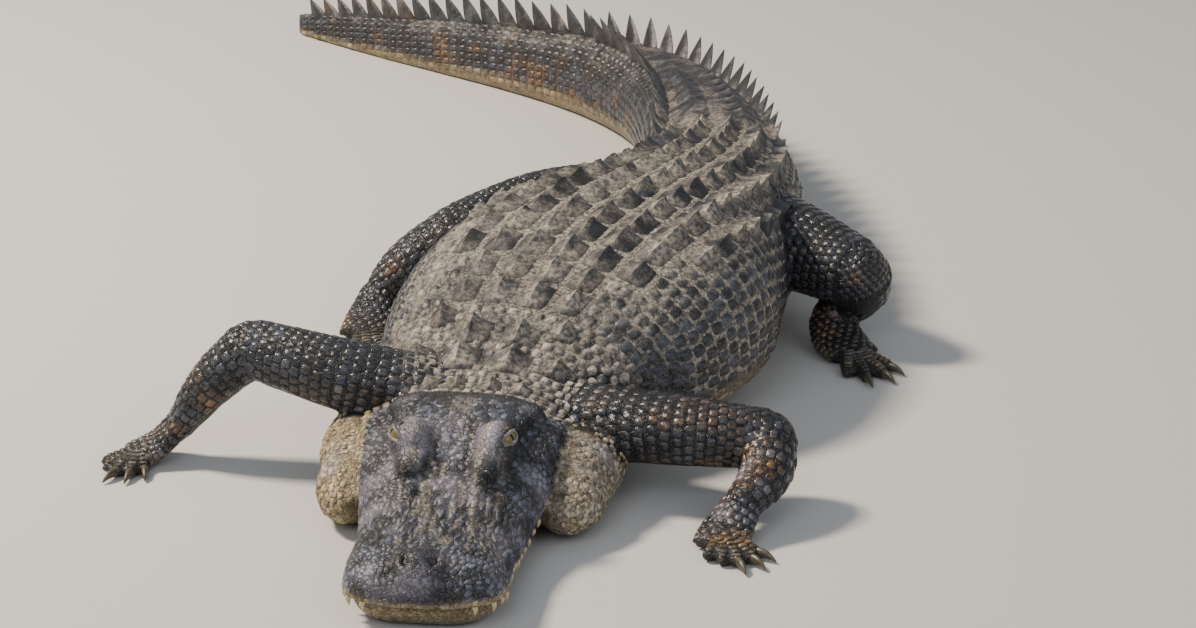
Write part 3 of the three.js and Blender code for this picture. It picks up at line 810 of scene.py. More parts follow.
@dataclass(frozen=True)
class Hide:
    """Crocodilian hide: tough keratin scales, blue-black where wet and matt grey-tan under dried mud."""

    name: str
    dark: str = "#14161b"
    slate: str = "#333a47"
    mud: str = "#ada293"
    dust: str = "#4c4a48"
    pale: str = "#b3a27c"
    cream: str = "#85724a"
    tan: str = "#7a5526"
    lilac: str = "#9c95a1"
    wet_roughness: float = 0.3
    dry_roughness: float = 0.8
    blotch_mm: float = 26.3158
    fleck_mm: float = 5.88235
    grain_mm: float = 1.42857
    wrinkle_mm: float = 1.4
    grain_depth_mm: float = 0.6
    cell_mm: float = 0.0
    mud_share: float = 0.92

    def material(self) -> bpy.types.Material:
        """Builds the finish's nodes.

        Returns:
            The material.
        """
        made, tree = empty_material(self.name)
        place = add_node(tree, "TexCoord").outputs["Object"]
        zones = add_node(tree, "Attribute", {"attribute_name": "hide"})
        split = add_node(tree, "SeparateColor", links={0: zones.outputs["Color"]})
        marks = add_node(tree, "Attribute", {"attribute_name": "face"})
        parts = add_node(tree, "SeparateColor", links={0: marks.outputs["Color"]})
        mud, pale, tan = (split.outputs[name] for name in ("Red", "Green", "Blue"))
        lilac, dust, tone = (parts.outputs[name] for name in ("Red", "Green", "Blue"))
        # Blotches, flecks and grain break up every colour, as algae, wear and silt do on the real hide.
        blotch, fleck, grain = (
            add_node(tree, "TexNoise", {"Scale": 1000 / size, "Detail": detail, "Roughness": rough},
                     {0: place}).outputs[0]
            for size, detail, rough in ((self.blotch_mm, 6.0, 0.62), (self.fleck_mm, 5.0, 0.6),
                                        (self.grain_mm, 2.0, 0.5)))
        # Three colours of two tones each: the wet scale, the pale underside and the dried mud.
        tones = []
        for pattern, low, high, first, second in (
                (blotch, 0.42, 0.68, self.dark, self.slate), (fleck, 0.36, 0.64, self.cream, self.pale),
                (fleck, 0.34, 0.66, self.dust, self.mud)):
            spread = add_node(tree, "MapRange", SMOOTH | {1: low, 2: high}, {0: pattern})
            mixed = add_node(tree, "Mix", RGBA | {6: linear(first), 7: linear(second)},
                             {0: spread.outputs[0]})
            tones.append(mixed.outputs[2])
        colour, underside, dried = tones
        # Mud lies where the markings put it, and breaks up into patches at its edges.
        breaks = add_node(tree, "MapRange", SMOOTH | {1: 0.3, 2: 0.7, 4: 0.35}, {0: blotch})
        patchy = add_node(tree, "Math", {"operation": "ADD", "use_clamp": True},
                          {0: mud, 1: breaks.outputs[0]})
        present = add_node(tree, "MapRange", SMOOTH | {1: 0.02, 2: 0.3}, {0: mud})
        factors = {}
        # Each layer: where it lies, the pattern that breaks it up, from and to, how strong, and its colour.
        for name, zone, pattern, low, high, share, paint in (
                ("flecks", None, fleck, 0.5, 0.74, 0.55, self.dust),
                ("tan", tan, fleck, 0.38, 0.6, 0.8, self.tan),
                ("underside", pale, blotch, 0.2, 0.5, 1.0, underside),
                ("mud", present.outputs[0], patchy.outputs[0], 0.28, 0.85, self.mud_share, dried),
                ("silt", None, grain, 0.45, 0.75, 0.22, self.mud),
                ("lilac", lilac, fleck, 0.05, 0.5, 1.0, self.lilac)):
            spread = add_node(tree, "MapRange", SMOOTH | {1: low, 2: high, 4: share}, {0: pattern})
            if zone is not None:
                spread = add_node(tree, "Math", {"operation": "MULTIPLY"}, {0: spread.outputs[0], 1: zone})
            factors[name] = spread.outputs[0]
            layer = add_node(tree, "Mix", RGBA, {0: factors[name], 6: colour})
            if isinstance(paint, str):
                layer.inputs[7].default_value = linear(paint)
            else:
                tree.links.new(paint, layer.inputs[7])
            colour = layer.outputs[2]
        # Each scale has a tone of its own, painted shade darkens the grooves and seams, and dust lies on the
        # ridges of the head.
        light = add_node(tree, "MapRange", {3: 0.62, 4: 1.5}, {0: tone})
        toned = add_node(tree, "VectorMath", {"operation": "SCALE"}, {0: colour, "Scale": light.outputs[0]})
        # Painted shade: the hide attribute's fourth channel pulls the colour toward the dark tone.
        deep = add_node(tree, "Math", {"operation": "MULTIPLY", 1: 0.86}, {0: zones.outputs["Alpha"]})
        shaded = add_node(tree, "Mix", RGBA | {7: linear(self.dark)},
                          {0: deep.outputs[0], 6: toned.outputs[0]})
        dusted = add_node(tree, "Math", {"operation": "MULTIPLY", 1: 0.85}, {0: dust})
        colour = add_node(tree, "Mix", RGBA,
                          {0: dusted.outputs[0], 6: shaded.outputs[2], 7: dried}).outputs[2]
        rough = add_node(tree, "MapRange", {2: self.mud_share, 3: self.wet_roughness, 4: self.dry_roughness},
                         {0: factors["mud"]})
        height = fleck
        if self.cell_mm:
            cells = add_node(tree, "TexVoronoi",
                             {"feature": "DISTANCE_TO_EDGE", "Scale": 1000 / self.cell_mm}, {0: place})
            edge = add_node(tree, "MapRange", SMOOTH | {1: 0.0, 2: 0.12, 4: 1.6}, {0: cells.outputs[0]})
            height = add_node(tree, "Math", {"operation": "ADD"}, {0: edge.outputs[0], 1: fleck}).outputs[0]
        wrinkles = add_node(tree, "Bump", {"Strength": 0.8, "Distance": self.wrinkle_mm * MM},
                            {"Height": height})
        grained = add_node(tree, "Bump", {"Strength": 0.35, "Distance": self.grain_depth_mm * MM},
                           {"Height": grain, "Normal": wrinkles.outputs[0]})
        shader = add_node(tree, "BsdfPrincipled", {"IOR": 1.5, "Specular IOR Level": 0.5},
                          {"Base Color": colour, "Roughness": rough.outputs[0], "Normal": grained.outputs[0]})
        add_node(tree, "OutputMaterial", links={0: shader.outputs[0]})
        return made


@dataclass(frozen=True)
class Horn:
    """Keratin or enamel: smooth, faintly streaked along its length, with a soft gloss."""

    name: str
    base: str
    tip: str
    roughness: float
    streak_mm: float = 3.84615

    def material(self) -> bpy.types.Material:
        """Builds the finish's nodes.

        Returns:
            The material.
        """
        made, tree = empty_material(self.name)
        place = add_node(tree, "TexCoord").outputs["Object"]
        streak = add_node(tree, "TexNoise", {"Scale": 1000 / self.streak_mm, "Detail": 4.0}, {0: place})
        blend = add_node(tree, "Mix",
                         RGBA | {6: linear(self.base), 7: linear(self.tip)}, {0: streak.outputs[0]})
        bump = add_node(tree, "Bump", {"Strength": 0.25, "Distance": 0.5 * MM},
                        {"Height": streak.outputs[0]})
        shader = add_node(tree, "BsdfPrincipled", {"IOR": 1.54, "Roughness": self.roughness},
                          {"Base Color": blend.outputs[2], "Normal": bump.outputs[0]})
        add_node(tree, "OutputMaterial", links={0: shader.outputs[0]})
        return made


@dataclass(frozen=True)
class Eyeshine:
    """A wet eye: olive-gold iris, mottled, with an upright slit pupil under a clear glossy surface."""

    name: str = "wet olive eye"
    iris: str = "#7f7236"
    rim: str = "#2a2410"
    pupil: str = "#060606"

    def material(self) -> bpy.types.Material:
        """Builds the finish's nodes, in the eye's own directions, where it looks along z.

        Returns:
            The material.
        """
        made, tree = empty_material(self.name)
        local = add_node(tree, "Attribute", {"attribute_name": "gaze"}).outputs["Vector"]
        axes = add_node(tree, "SeparateXYZ", links={0: local})
        speck = add_node(tree, "TexNoise", {"Scale": 9.0, "Detail": 4.0}, {0: local})
        edge = add_node(tree, "MapRange", {1: 0.78, 2: 0.5}, {0: axes.outputs[2]})
        mottle = add_node(tree, "Math", {"operation": "MULTIPLY_ADD", "use_clamp": True, 1: 0.6, 2: -0.12},
                          {0: speck.outputs[0]})
        both = add_node(tree, "Math", {"operation": "MAXIMUM"}, {0: edge.outputs[0], 1: mottle.outputs[0]})
        iris = add_node(tree, "Mix", RGBA | {6: linear(self.iris), 7: linear(self.rim)},
                        {0: both.outputs[0]})
        width = add_node(tree, "Math", {"operation": "ABSOLUTE"}, {0: axes.outputs[0]})
        slit = add_node(tree, "MapRange", {1: 0.07, 2: 0.1}, {0: width.outputs[0]})
        pupil = add_node(tree, "Mix", RGBA | {6: linear(self.pupil)},
                         {0: slit.outputs[0], 7: iris.outputs[2]})
        shader = add_node(tree, "BsdfPrincipled",
                          {"IOR": 1.38, "Roughness": 0.06, "Coat Weight": 0.6, "Coat Roughness": 0.03},
                          {"Base Color": pupil.outputs[2]})
        add_node(tree, "OutputMaterial", links={0: shader.outputs[0]})
        return made


# Hide between the scales: dull, cracked into cells of 6 mm, so it reads as skin and not as a scale.
WRINKLED_HIDE = Hide("wrinkled hide", cell_mm=6.0, wet_roughness=0.45)
# Bony plates under a dry crust: matt and pale on top, which sets them off from the wet legs and head.
MUDDY_PLATES = Hide("muddy bony plates", wet_roughness=0.5, dry_roughness=0.9)
# Keratin of the crest: darkened by an even painted shade on its piece, and a little smoother, so its thin
# blades catch a soft edge of light.
CREST_KERATIN = Hide("keratin crest", wet_roughness=0.4)
# Flank scales: blue-black with a low gloss, dark islands in the pale net of the hide.
FLANK_SCALES = Hide("flank scales")
# Neck pebbles: dusty and dull, like the plates between which they lie.
NECK_PEBBLES = Hide("pebbled neck scales", wet_roughness=0.5, dry_roughness=0.9)
# Head scales: slate with light cracks and a damp sheen, the coolest and darkest part of the body.
HEAD_SCALES = Hide("cracked head scales", dark="#20232b", slate="#596070", mud="#a09586", wet_roughness=0.42)
# Jowl pebbles: cream-yellow and soft, the lightest part of the head.
JOWL_PEBBLES = Hide("pale jowl pebbles", wet_roughness=0.45)
# Leg scales just out of the water: nearly black, with small sharp highlights.
WET_LEG_SCALES = Hide("wet leg scales", wet_roughness=0.22)
# Lids: thin grey-lilac skin with no scales, which frames the eye.
EYELID_SKIN = Hide("eyelid skin", dark="#4a4650", slate="#8a8390")
# Enamel: ivory, a little yellowed, with a soft gloss.
TOOTH_ENAMEL = Horn("tooth enamel", "#a8966c", "#cdbf98", 0.3)
# Claw horn: brown-black with lighter streaks along it and a dull polish.
CLAW_HORN = Horn("claw horn", "#1c1916", "#6f6654", 0.35)


@dataclass
class Carving:
    """Shapes the face, the folds and the wrinkles by moving the skin's points, in millimetres, and notes how
    deep in a groove each point lies, for the painted shade there.
    """

    points: np.ndarray
    normals: np.ndarray
    mouth_width: float = 3.4
    mouth_depth: float = 5.0
    mouth_end: float = 352
    corner_station: float = 318
    corner_drop: float = 22
    corner_swell: float = 5.0
    ear_start: float = 285
    ear_left: float = 70
    ear_slant: float = 0.28
    ear_depth: float = 3.5
    lid_length: float = 16
    lid_height: float = 8.2
    lid_rise: float = 2.2
    nostril_station: float = 28
    nostril_left: float = 15
    nostril_depth: float = 8
    nostril_rim: float = 1.6
    hollow_station: float = 272
    hollow_depth: float = 4
    # The folds come each 2 pi times this length, so about 33 mm.
    fold_length: float = 5.2
    fold_depth: float = 1.6
    lump_height: float = 0.5
    floor_gap: float = 0.4

    def __post_init__(self) -> None:
        """Finds where on the animal each point is."""
        self.station, self.left = near_station(self.points)
        self.away = np.abs(self.left)
        self.z = self.points[:, 2]
        self.moved = self.points.copy()
        self.groove = np.zeros(len(self.points))
        self.on_head = smoothstep(400, 350, self.station) * (self.away < 150)
        self.on_skull = np.clip(self.station, 0, 400)

    def push(self, amount: np.ndarray, depth: np.ndarray | None = None) -> None:
        """Moves the points along their normals.

        Args:
            amount: How far outwards each point goes.
            depth: How deep in a groove each point then lies, which sets the painted shade there.
        """
        self.moved += self.normals * amount[:, None]
        if depth is not None:
            self.groove = np.maximum(self.groove, depth)

    def run(self) -> None:
        """Carves everything, from the mouth to the floor."""
        self.mouth()
        self.ears()
        self.rough_head()
        for side in (-1, 1):
            self.eye(side)
            self.nostril(side)
        behind = (self.station - self.hollow_station) / 24
        hollow = np.exp(-(behind**2) - (self.left / 15) ** 2) * (self.z > 80)
        self.moved[:, 2] -= self.hollow_depth * hollow
        self.groove = np.maximum(self.groove, 0.75 * hollow)
        self.folds()
        self.push(self.lump_height * noise(self.points, 16, 9) * (1 - self.on_head))
        self.moved[:, 2] = np.maximum(self.moved[:, 2], self.floor_gap)

    def mouth(self) -> None:
        """Cuts the line of the mouth and swells the fold at its corner."""
        height = sample(CREASE, self.on_skull, 1)
        half = sample(HEAD, self.on_skull, 1)
        side = smoothstep(half * 0.6, half * 0.8, self.away) + smoothstep(30, 12, self.station)
        line = np.exp(-(((self.z - height + 1) / self.mouth_width) ** 2)) * np.clip(side, 0, 1)
        line *= (self.station < self.mouth_end) & (self.station > -5)
        self.push(-self.mouth_depth * line, line)
        below = (self.z - height + self.corner_drop) / 15
        corner = np.exp(-(((self.station - self.corner_station) / 26) ** 2) - below**2)
        self.push(self.corner_swell * corner * smoothstep(60, 90, self.away))

    def ears(self) -> None:
        """Cuts the slits under the edges of the skull's table that cover the ears."""
        off = self.away - self.ear_left - self.ear_slant * (self.station - self.ear_start)
        slit = np.exp(-((off / 3.5) ** 2)) * (self.z > 100)
        slit *= smoothstep(284, 296, self.station) * smoothstep(356, 340, self.station)
        self.push(-self.ear_depth * slit, slit)

    def rough_head(self) -> None:
        """Roughens the head with ridges that run lengthwise, most of all on top."""
        top = np.clip(self.normals[:, 2], 0, 1) * self.on_head
        lengthwise = np.stack([self.station * 0.45, self.left, self.z * 0.7], 1)
        rugged = noise(lengthwise, 9, 1) + 0.5 * noise(self.points, 6, 2)
        self.push(rugged * (0.3 + 0.8 * top) * self.on_head)

    def eye(self, side: int) -> None:
        """Opens the lids of one eye and raises their rim.

        Args:
            side: 1 on the left, -1 on the right.
        """
        centre = SPINE.point(EYE_STATION, side * EYE_LEFT, EYE_HEIGHT)
        gaze, along_lid, over_lid = eye_axes(side)
        away = self.moved - centre
        distance = np.linalg.norm(away, axis=1)
        along = away @ along_lid
        height = np.maximum(self.lid_height - 0.14 * np.abs(along), 3)
        lid = (along / self.lid_length) ** 2 + (away @ over_lid / height) ** 2
        ahead = (away @ gaze > 4) & (distance < 40)
        open_lid = smoothstep(1.1, 0.75, lid) * ahead
        sink = np.maximum(distance - (EYE_RADIUS - 2.5), 0) * open_lid
        self.moved -= unit(away) * sink[:, None]
        rim = smoothstep(2.4, 1.3, lid) * (1 - open_lid) * ahead
        self.moved += unit(away) * (rim * np.clip(EYE_RADIUS + self.lid_rise - distance, -4, 4))[:, None]
        self.groove = np.maximum(self.groove, open_lid * 0.9)

    def nostril(self, side: int) -> None:
        """Sinks one crescent nostril and raises its rim.

        Args:
            side: 1 on the left, -1 on the right.
        """
        off = self.left - side * self.nostril_left
        apart = np.hypot((self.station - self.nostril_station) / 11.5, off / 6.8)
        bend = np.hypot((self.station - self.nostril_station - 7) / 9, (off + side * 3.5) / 6)
        on_top = self.z > 60
        pit = smoothstep(1.2, 0.5, apart) * smoothstep(0.7, 1.05, bend) * on_top
        rim = np.exp(-(((apart - 1.75) / 0.4) ** 2)) * on_top
        self.moved[:, 2] += self.nostril_rim * rim - self.nostril_depth * pit
        self.groove = np.maximum(self.groove, pit)

    def folds(self) -> None:
        """Cuts the folds that run round the sides of the neck."""
        waves = np.sin((self.station + 10 * noise(self.points, 45, 7)) / self.fold_length)
        neck = smoothstep(380, 400, self.station) * smoothstep(600, 520, self.station)
        neck *= smoothstep(150, 110, self.z) * (self.normals[:, 2] < 0.8)
        self.push(-self.fold_depth * smoothstep(0.35, 0.9, waves) * neck)


@dataclass
class Skin:
    """The one skin of head, body, legs and feet."""

    voxel: float = 3.4
    face_target: int = 186000
    sides: int = 72
    brow_balls: tuple = ((5, 50, 119, 35, 24, 28), (-10, 44, 104, 46, 22, 22), (-36, 38, 90, 48, 10, 10))
    nose_balls: tuple = ((36, 0, 64, 32, 37, 25), (31, -15, 79, 14, 10, 8.5), (31, 15, 79, 14, 10, 8.5))

    def shapes(self) -> Mesher:
        """Collects the closed shapes that the skin is drawn over.

        Returns:
            The shapes of trunk, head and legs.
        """
        build = Mesher()
        inside = -SCALE_LIFT
        sides = 64
        stations = np.arange(348, 2759, 9.0)
        angle = -np.arange(sides) * 2 * math.pi / sides
        grid = body_point(stations[:, None], angle[None, :], inside)
        build.add(grid.reshape(-1, 3), tube_faces(len(stations), sides))
        self.skull(build, inside)
        for side in (-1, 1):
            for station, left, height, *half in JOWLS:
                build.add(*spine_ball(station, side * left, height, *(size + inside for size in half)))
            for ahead, left, height, long, wide, tall in self.brow_balls:
                build.add(*spine_ball(EYE_STATION + ahead, side * left, height, long, wide, tall))
        for row in self.nose_balls:
            build.add(*spine_ball(*row))
        for limb in ALL_LIMBS:
            self.leg(build, limb, inside)
        return build

    def skull(self, build: Mesher, inside: float) -> None:
        """Adds the upper jaw, the lower jaw and the skull's table.

        Args:
            build: What collects the shapes.
            inside: How far outside the named sizes they lie, less than 0 for inside.
        """
        angle = -np.arange(self.sides) * 2 * math.pi / self.sides
        cos, sin = np.cos(angle)[None, :], np.sin(angle)[None, :]
        upper = np.concatenate([[1, 4, 8, 13], np.arange(18, 398, 6.0)])
        grids = [skull_point(upper[:, None], angle[None, :], inside)]
        lower = np.concatenate([[13, 15, 18, 22], np.arange(28, 398, 6.0)])
        width = sample(HEAD, lower - 10, 1)[:, None] - 9 + inside
        top = sample(HEAD, lower, 3)[:, None] + 2
        drop = top - np.maximum(sample(CHIN, lower, 1), 0.5)[:, None]
        across = np.where(cos < 0, bulge(sin, 0.6), sin)
        grids.append(SPINE.point(lower[:, None], width * across, top - drop * np.maximum(-cos, 0) ** 0.6))
        table = np.linspace(TABLE_FRONT, TABLE_BACK, 18)
        part = (table - TABLE_FRONT) / (TABLE_BACK - TABLE_FRONT)
        width = (TABLE_HALF + TABLE_SPREAD * np.sqrt(part))[:, None] + inside
        top = (TABLE_TOP - TABLE_FALL * (1 - part) ** 2.4)[:, None] + inside
        rise = np.where(cos > 0, np.maximum(top - TABLE_ROOT, 1), 10)
        height = TABLE_ROOT + rise * bulge(cos, 0.6)
        grids.append(SPINE.point(table[:, None], width * bulge(sin, 0.7), height))
        for grid in grids:
            build.add(grid.reshape(-1, 3), tube_faces(len(grid), self.sides))

    def leg(self, build: Mesher, limb: Limb, inside: float) -> None:
        """Adds one leg with its foot and toes.

        Args:
            build: What collects the shapes.
            limb: The leg.
            inside: How far outside the named sizes it lies, less than 0 for inside.
        """
        for start, end in LENGTHS:
            section = limb.section(start, end)
            build.add(*section.tube(16, 32, inside))
            radius = 0.94 * min(section.rows[0, 4], section.rows[0, 5]) + inside
            build.add(*ball(section.centre(start), np.eye(3), (radius,) * 3))
        for number in range(len(limb.headings)):
            toe = LimbSection(limb.toe_rows(number))
            build.add(*toe.tube(12, 16, inside + 0.4))
            build.add(*ball(toe.centre(0.97), np.eye(3), (7.4, 7.4, 6.6), 12))

    def build(self) -> Piece:
        """Draws the skin over its shapes, carves it and thins it behind the head.

        Returns:
            The skin, with its markings.
        """
        skin = self.shapes().make("skin")
        apply_modifier(skin, "REMESH", mode="VOXEL", voxel_size=self.voxel * MM, adaptivity=0.0)
        apply_modifier(skin, "SMOOTH", factor=0.6, iterations=5)
        mesh = skin.data
        carving = Carving(read_vertices(mesh, "co") / MM, read_vertices(mesh, "normal"))
        carving.run()
        mesh.vertices.foreach_set("co", (carving.moved * MM).astype(np.float32).ravel())
        mesh.update()
        group = skin.vertex_groups.new(name="plain")
        plain = smoothstep(360, 430, near_station(carving.moved)[0])
        for level in (0.25, 0.5, 0.75, 1.0):
            chosen = np.nonzero((plain > level - 0.25) & (plain <= level))[0]
            group.add(chosen.tolist(), level, "REPLACE")
        faces = sum(len(p.vertices) - 2 for p in mesh.polygons)
        if faces > self.face_target:
            apply_modifier(skin, "DECIMATE", ratio=self.face_target / faces, vertex_group="plain",
                           vertex_group_factor=1.0)
        self.keep_largest(skin)
        skin.vertex_groups.clear()
        points = read_vertices(skin.data, "co") / MM
        write_zones(skin, self.zones(points, carving))
        smooth_shade(skin)
        return skin

    def keep_largest(self, skin: Piece) -> None:
        """Removes closed hollows inside the skin, so that one surface is left.

        Args:
            skin: The skin.
        """
        body = bmesh.new()
        body.from_mesh(skin.data)
        left = set(body.verts)
        islands = []
        while left:
            stack = [left.pop()]
            island = list(stack)
            while stack:
                for edge in stack.pop().link_edges:
                    for vert in edge.verts:
                        if vert in left:
                            left.discard(vert)
                            stack.append(vert)
                            island.append(vert)
            islands.append(island)
        islands.sort(key=len)
        for island in islands[:-1]:
            bmesh.ops.delete(body, geom=island, context="VERTS")
        body.to_mesh(skin.data)
        body.free()

    def zones(self, points: np.ndarray, carving: Carving) -> np.ndarray:
        """Gives the skin's markings, with painted shade in the grooves found on the finer mesh.

        Args:
            points: The finished skin's points.
            carving: What was carved, and where.

        Returns:
            The channels of Zone.
        """
        deep = np.nonzero(carving.groove > 0.05)[0]
        tree = KDTree(len(deep))
        for number, index in enumerate(deep):
            tree.insert(carving.moved[index], number)
        tree.balance()
        limb = limb_share(points)
        zones = markings(points) * (1 - limb[:, None]) + markings(points, Cover.LEG) * limb[:, None]
        station, _ = near_station(points)
        # Between the scales of trunk and flanks the skin is a pale net of dried mud. Elsewhere painted shade
        # darkens the skin between the scales, fully on the legs and less round the eyes.
        net = smoothstep(600, 660, station) * smoothstep(1400, 1250, station) * (1 - limb)
        seam_shade = np.maximum.reduce([limb, 0.3 * smoothstep(385, 360, station), 0.25 * (1 - net)])
        zones[:, Zone.GROOVE] = seam_shade * (1 - 0.8 * face_marks(points)[:, FaceZone.LILAC])
        zones[:, Zone.MUD] = np.maximum(zones[:, Zone.MUD], 0.75 * net * (points[:, 2] > 30))
        # Painted shade also fills the carved grooves: the mouth line, the ear slits, the open lids, the
        # nostrils and the hollow between the eyes.
        for i in np.nonzero(station < 620)[0]:
            _, number, distance = tree.find(points[i])
            if distance < self.voxel + 0.1:
                zones[i, Zone.GROOVE] = max(zones[i, Zone.GROOVE], carving.groove[deep[number]])
        return zones


def limb_share(points: np.ndarray) -> np.ndarray:
    """Says how much of a leg each point is, from 0 on the body to 1.

    Args:
        points: Places in millimetres.

    Returns:
        A share for each point.
    """
    share = np.zeros(len(points))
    station, left = near_station(points)
    half = sample(BODY, np.clip(station, 340, 2755), 1)
    outside = smoothstep(-60, -20, np.abs(left) - half)
    for limb in ALL_LIMBS:
        for at in np.linspace(0.3, 6, 48):
            centre = np.array([sample(limb.rows, at, c) for c in (1, 2, 3)])
            reach = max(float(sample(limb.rows, at, 4)), float(sample(limb.rows, at, 5)))
            away = np.linalg.norm(points - centre, axis=1)
            share = np.maximum(share, smoothstep(1.4, 1.12, away / reach))
        for number in range(len(limb.headings)):
            end = limb.toe_rows(number)[2, 1:4]
            share = np.maximum(share, smoothstep(70, 50, np.linalg.norm(points - end, axis=1)))
    return share * outside


TILE_RING = 8


def tile(length: float, width: float, height: float, lean: float = 0.0) -> tuple[np.ndarray, list[list[int]]]:
    """Makes a low rounded scale in its own axes: across, along, out.

    Args:
        length: Its size along the body.
        width: Its size across.
        height: How far its middle stands out.
        lean: How much its back edge is raised.

    Returns:
        Its points and faces.
    """
    angle = np.arange(TILE_RING) * 2 * math.pi / TILE_RING + math.pi / TILE_RING
    x, y = bulge(np.sin(angle), 0.6), bulge(np.cos(angle), 0.6)
    base = np.stack([x * width / 2, y * length / 2, np.full(TILE_RING, -0.8)], 1)
    top = np.stack([x * width * 0.38, y * length * 0.38, height * (0.8 + lean * y)], 1)
    middle = np.array([[0, 0.08 * length, height * (1 + 0.4 * lean)]])
    faces = []
    for k in range(TILE_RING):
        n = (k + 1) % TILE_RING
        faces.append([n, k, k + TILE_RING, n + TILE_RING])
        faces.append([n + TILE_RING, k + TILE_RING, 2 * TILE_RING])
    faces.append(list(range(TILE_RING)))
    return np.concatenate([base, top, middle]), faces


class SkinCover:
    """Lays small shapes on the finished skin."""

    def __init__(self, skin: Piece) -> None:
        """Reads the skin.

        Args:
            skin: The finished skin.
        """
        mesh = skin.data
        points = [v.co[:] for v in mesh.vertices]
        faces = [tuple(p.vertices) for p in mesh.polygons]
        self.tree = BVHTree.FromPolygons(points, faces)

    def lay(self, build: Mesher, shape: tuple, at: np.ndarray, along: np.ndarray, normal: np.ndarray,
            root: tuple[float, float], reach: float = 30) -> bool:
        """Lays a shape on the skin, so that its points follow the skin below them.

        Args:
            build: What collects the shapes.
            shape: Points in the shape's own axes, and faces.
            at: Where its middle goes.
            along: The direction of its length.
            normal: Outward from the body.
            root: Where it grows on the unwrapped skin.
            reach: The furthest that the skin may be.

        Returns:
            Whether the skin was near enough.
        """
        local, faces = shape
        normal = unit(normal)
        along = unit(along - normal * (along @ normal))
        across = np.cross(along, normal)
        flat = at + local[:, :1] * across + local[:, 1:2] * along
        out = np.empty_like(flat)
        found, surface, _, distance = self.tree.find_nearest(at * MM)
        if found is None or distance > reach * MM or np.dot(surface, normal) < 0.2:
            return False
        for i, point in enumerate(flat):
            near, face_normal, _, _ = self.tree.find_nearest(point * MM)
            facing = unit(np.array(face_normal) + normal)
            out[i] = np.array(near) / MM + facing * local[i, 2]
        ring = out[:TILE_RING] - out[:TILE_RING].mean(0)
        area = -np.cross(ring, np.roll(ring, -1, axis=0)).sum(0) @ normal / 2
        if area < 0.35 * np.ptp(local[:, 0]) * np.ptp(local[:, 1]):
            return False
        build.add(out, faces, root, local)
        return True


def ball_spot(number: int, count: int) -> np.ndarray:
    """Gives one of a number of directions that are spread evenly over a ball.

    Args:
        number: Which direction, from 0.
        count: How many there are.

    Returns:
        The direction, which goes from straight up to straight down.
    """
    tilt = math.acos(1 - 2 * (number + 0.5) / count)
    turn = number * GOLDEN_TURN
    return np.array([math.sin(tilt) * math.cos(turn), math.sin(tilt) * math.sin(turn), math.cos(tilt)])


def body_root(station: float, angle: float) -> tuple[float, float]:
    """Gives a place on the unwrapped skin of the body."""
    return 0.02 + 0.95 * station / TOTAL_LENGTH, 0.62 + 0.34 * angle / (2 * math.pi)


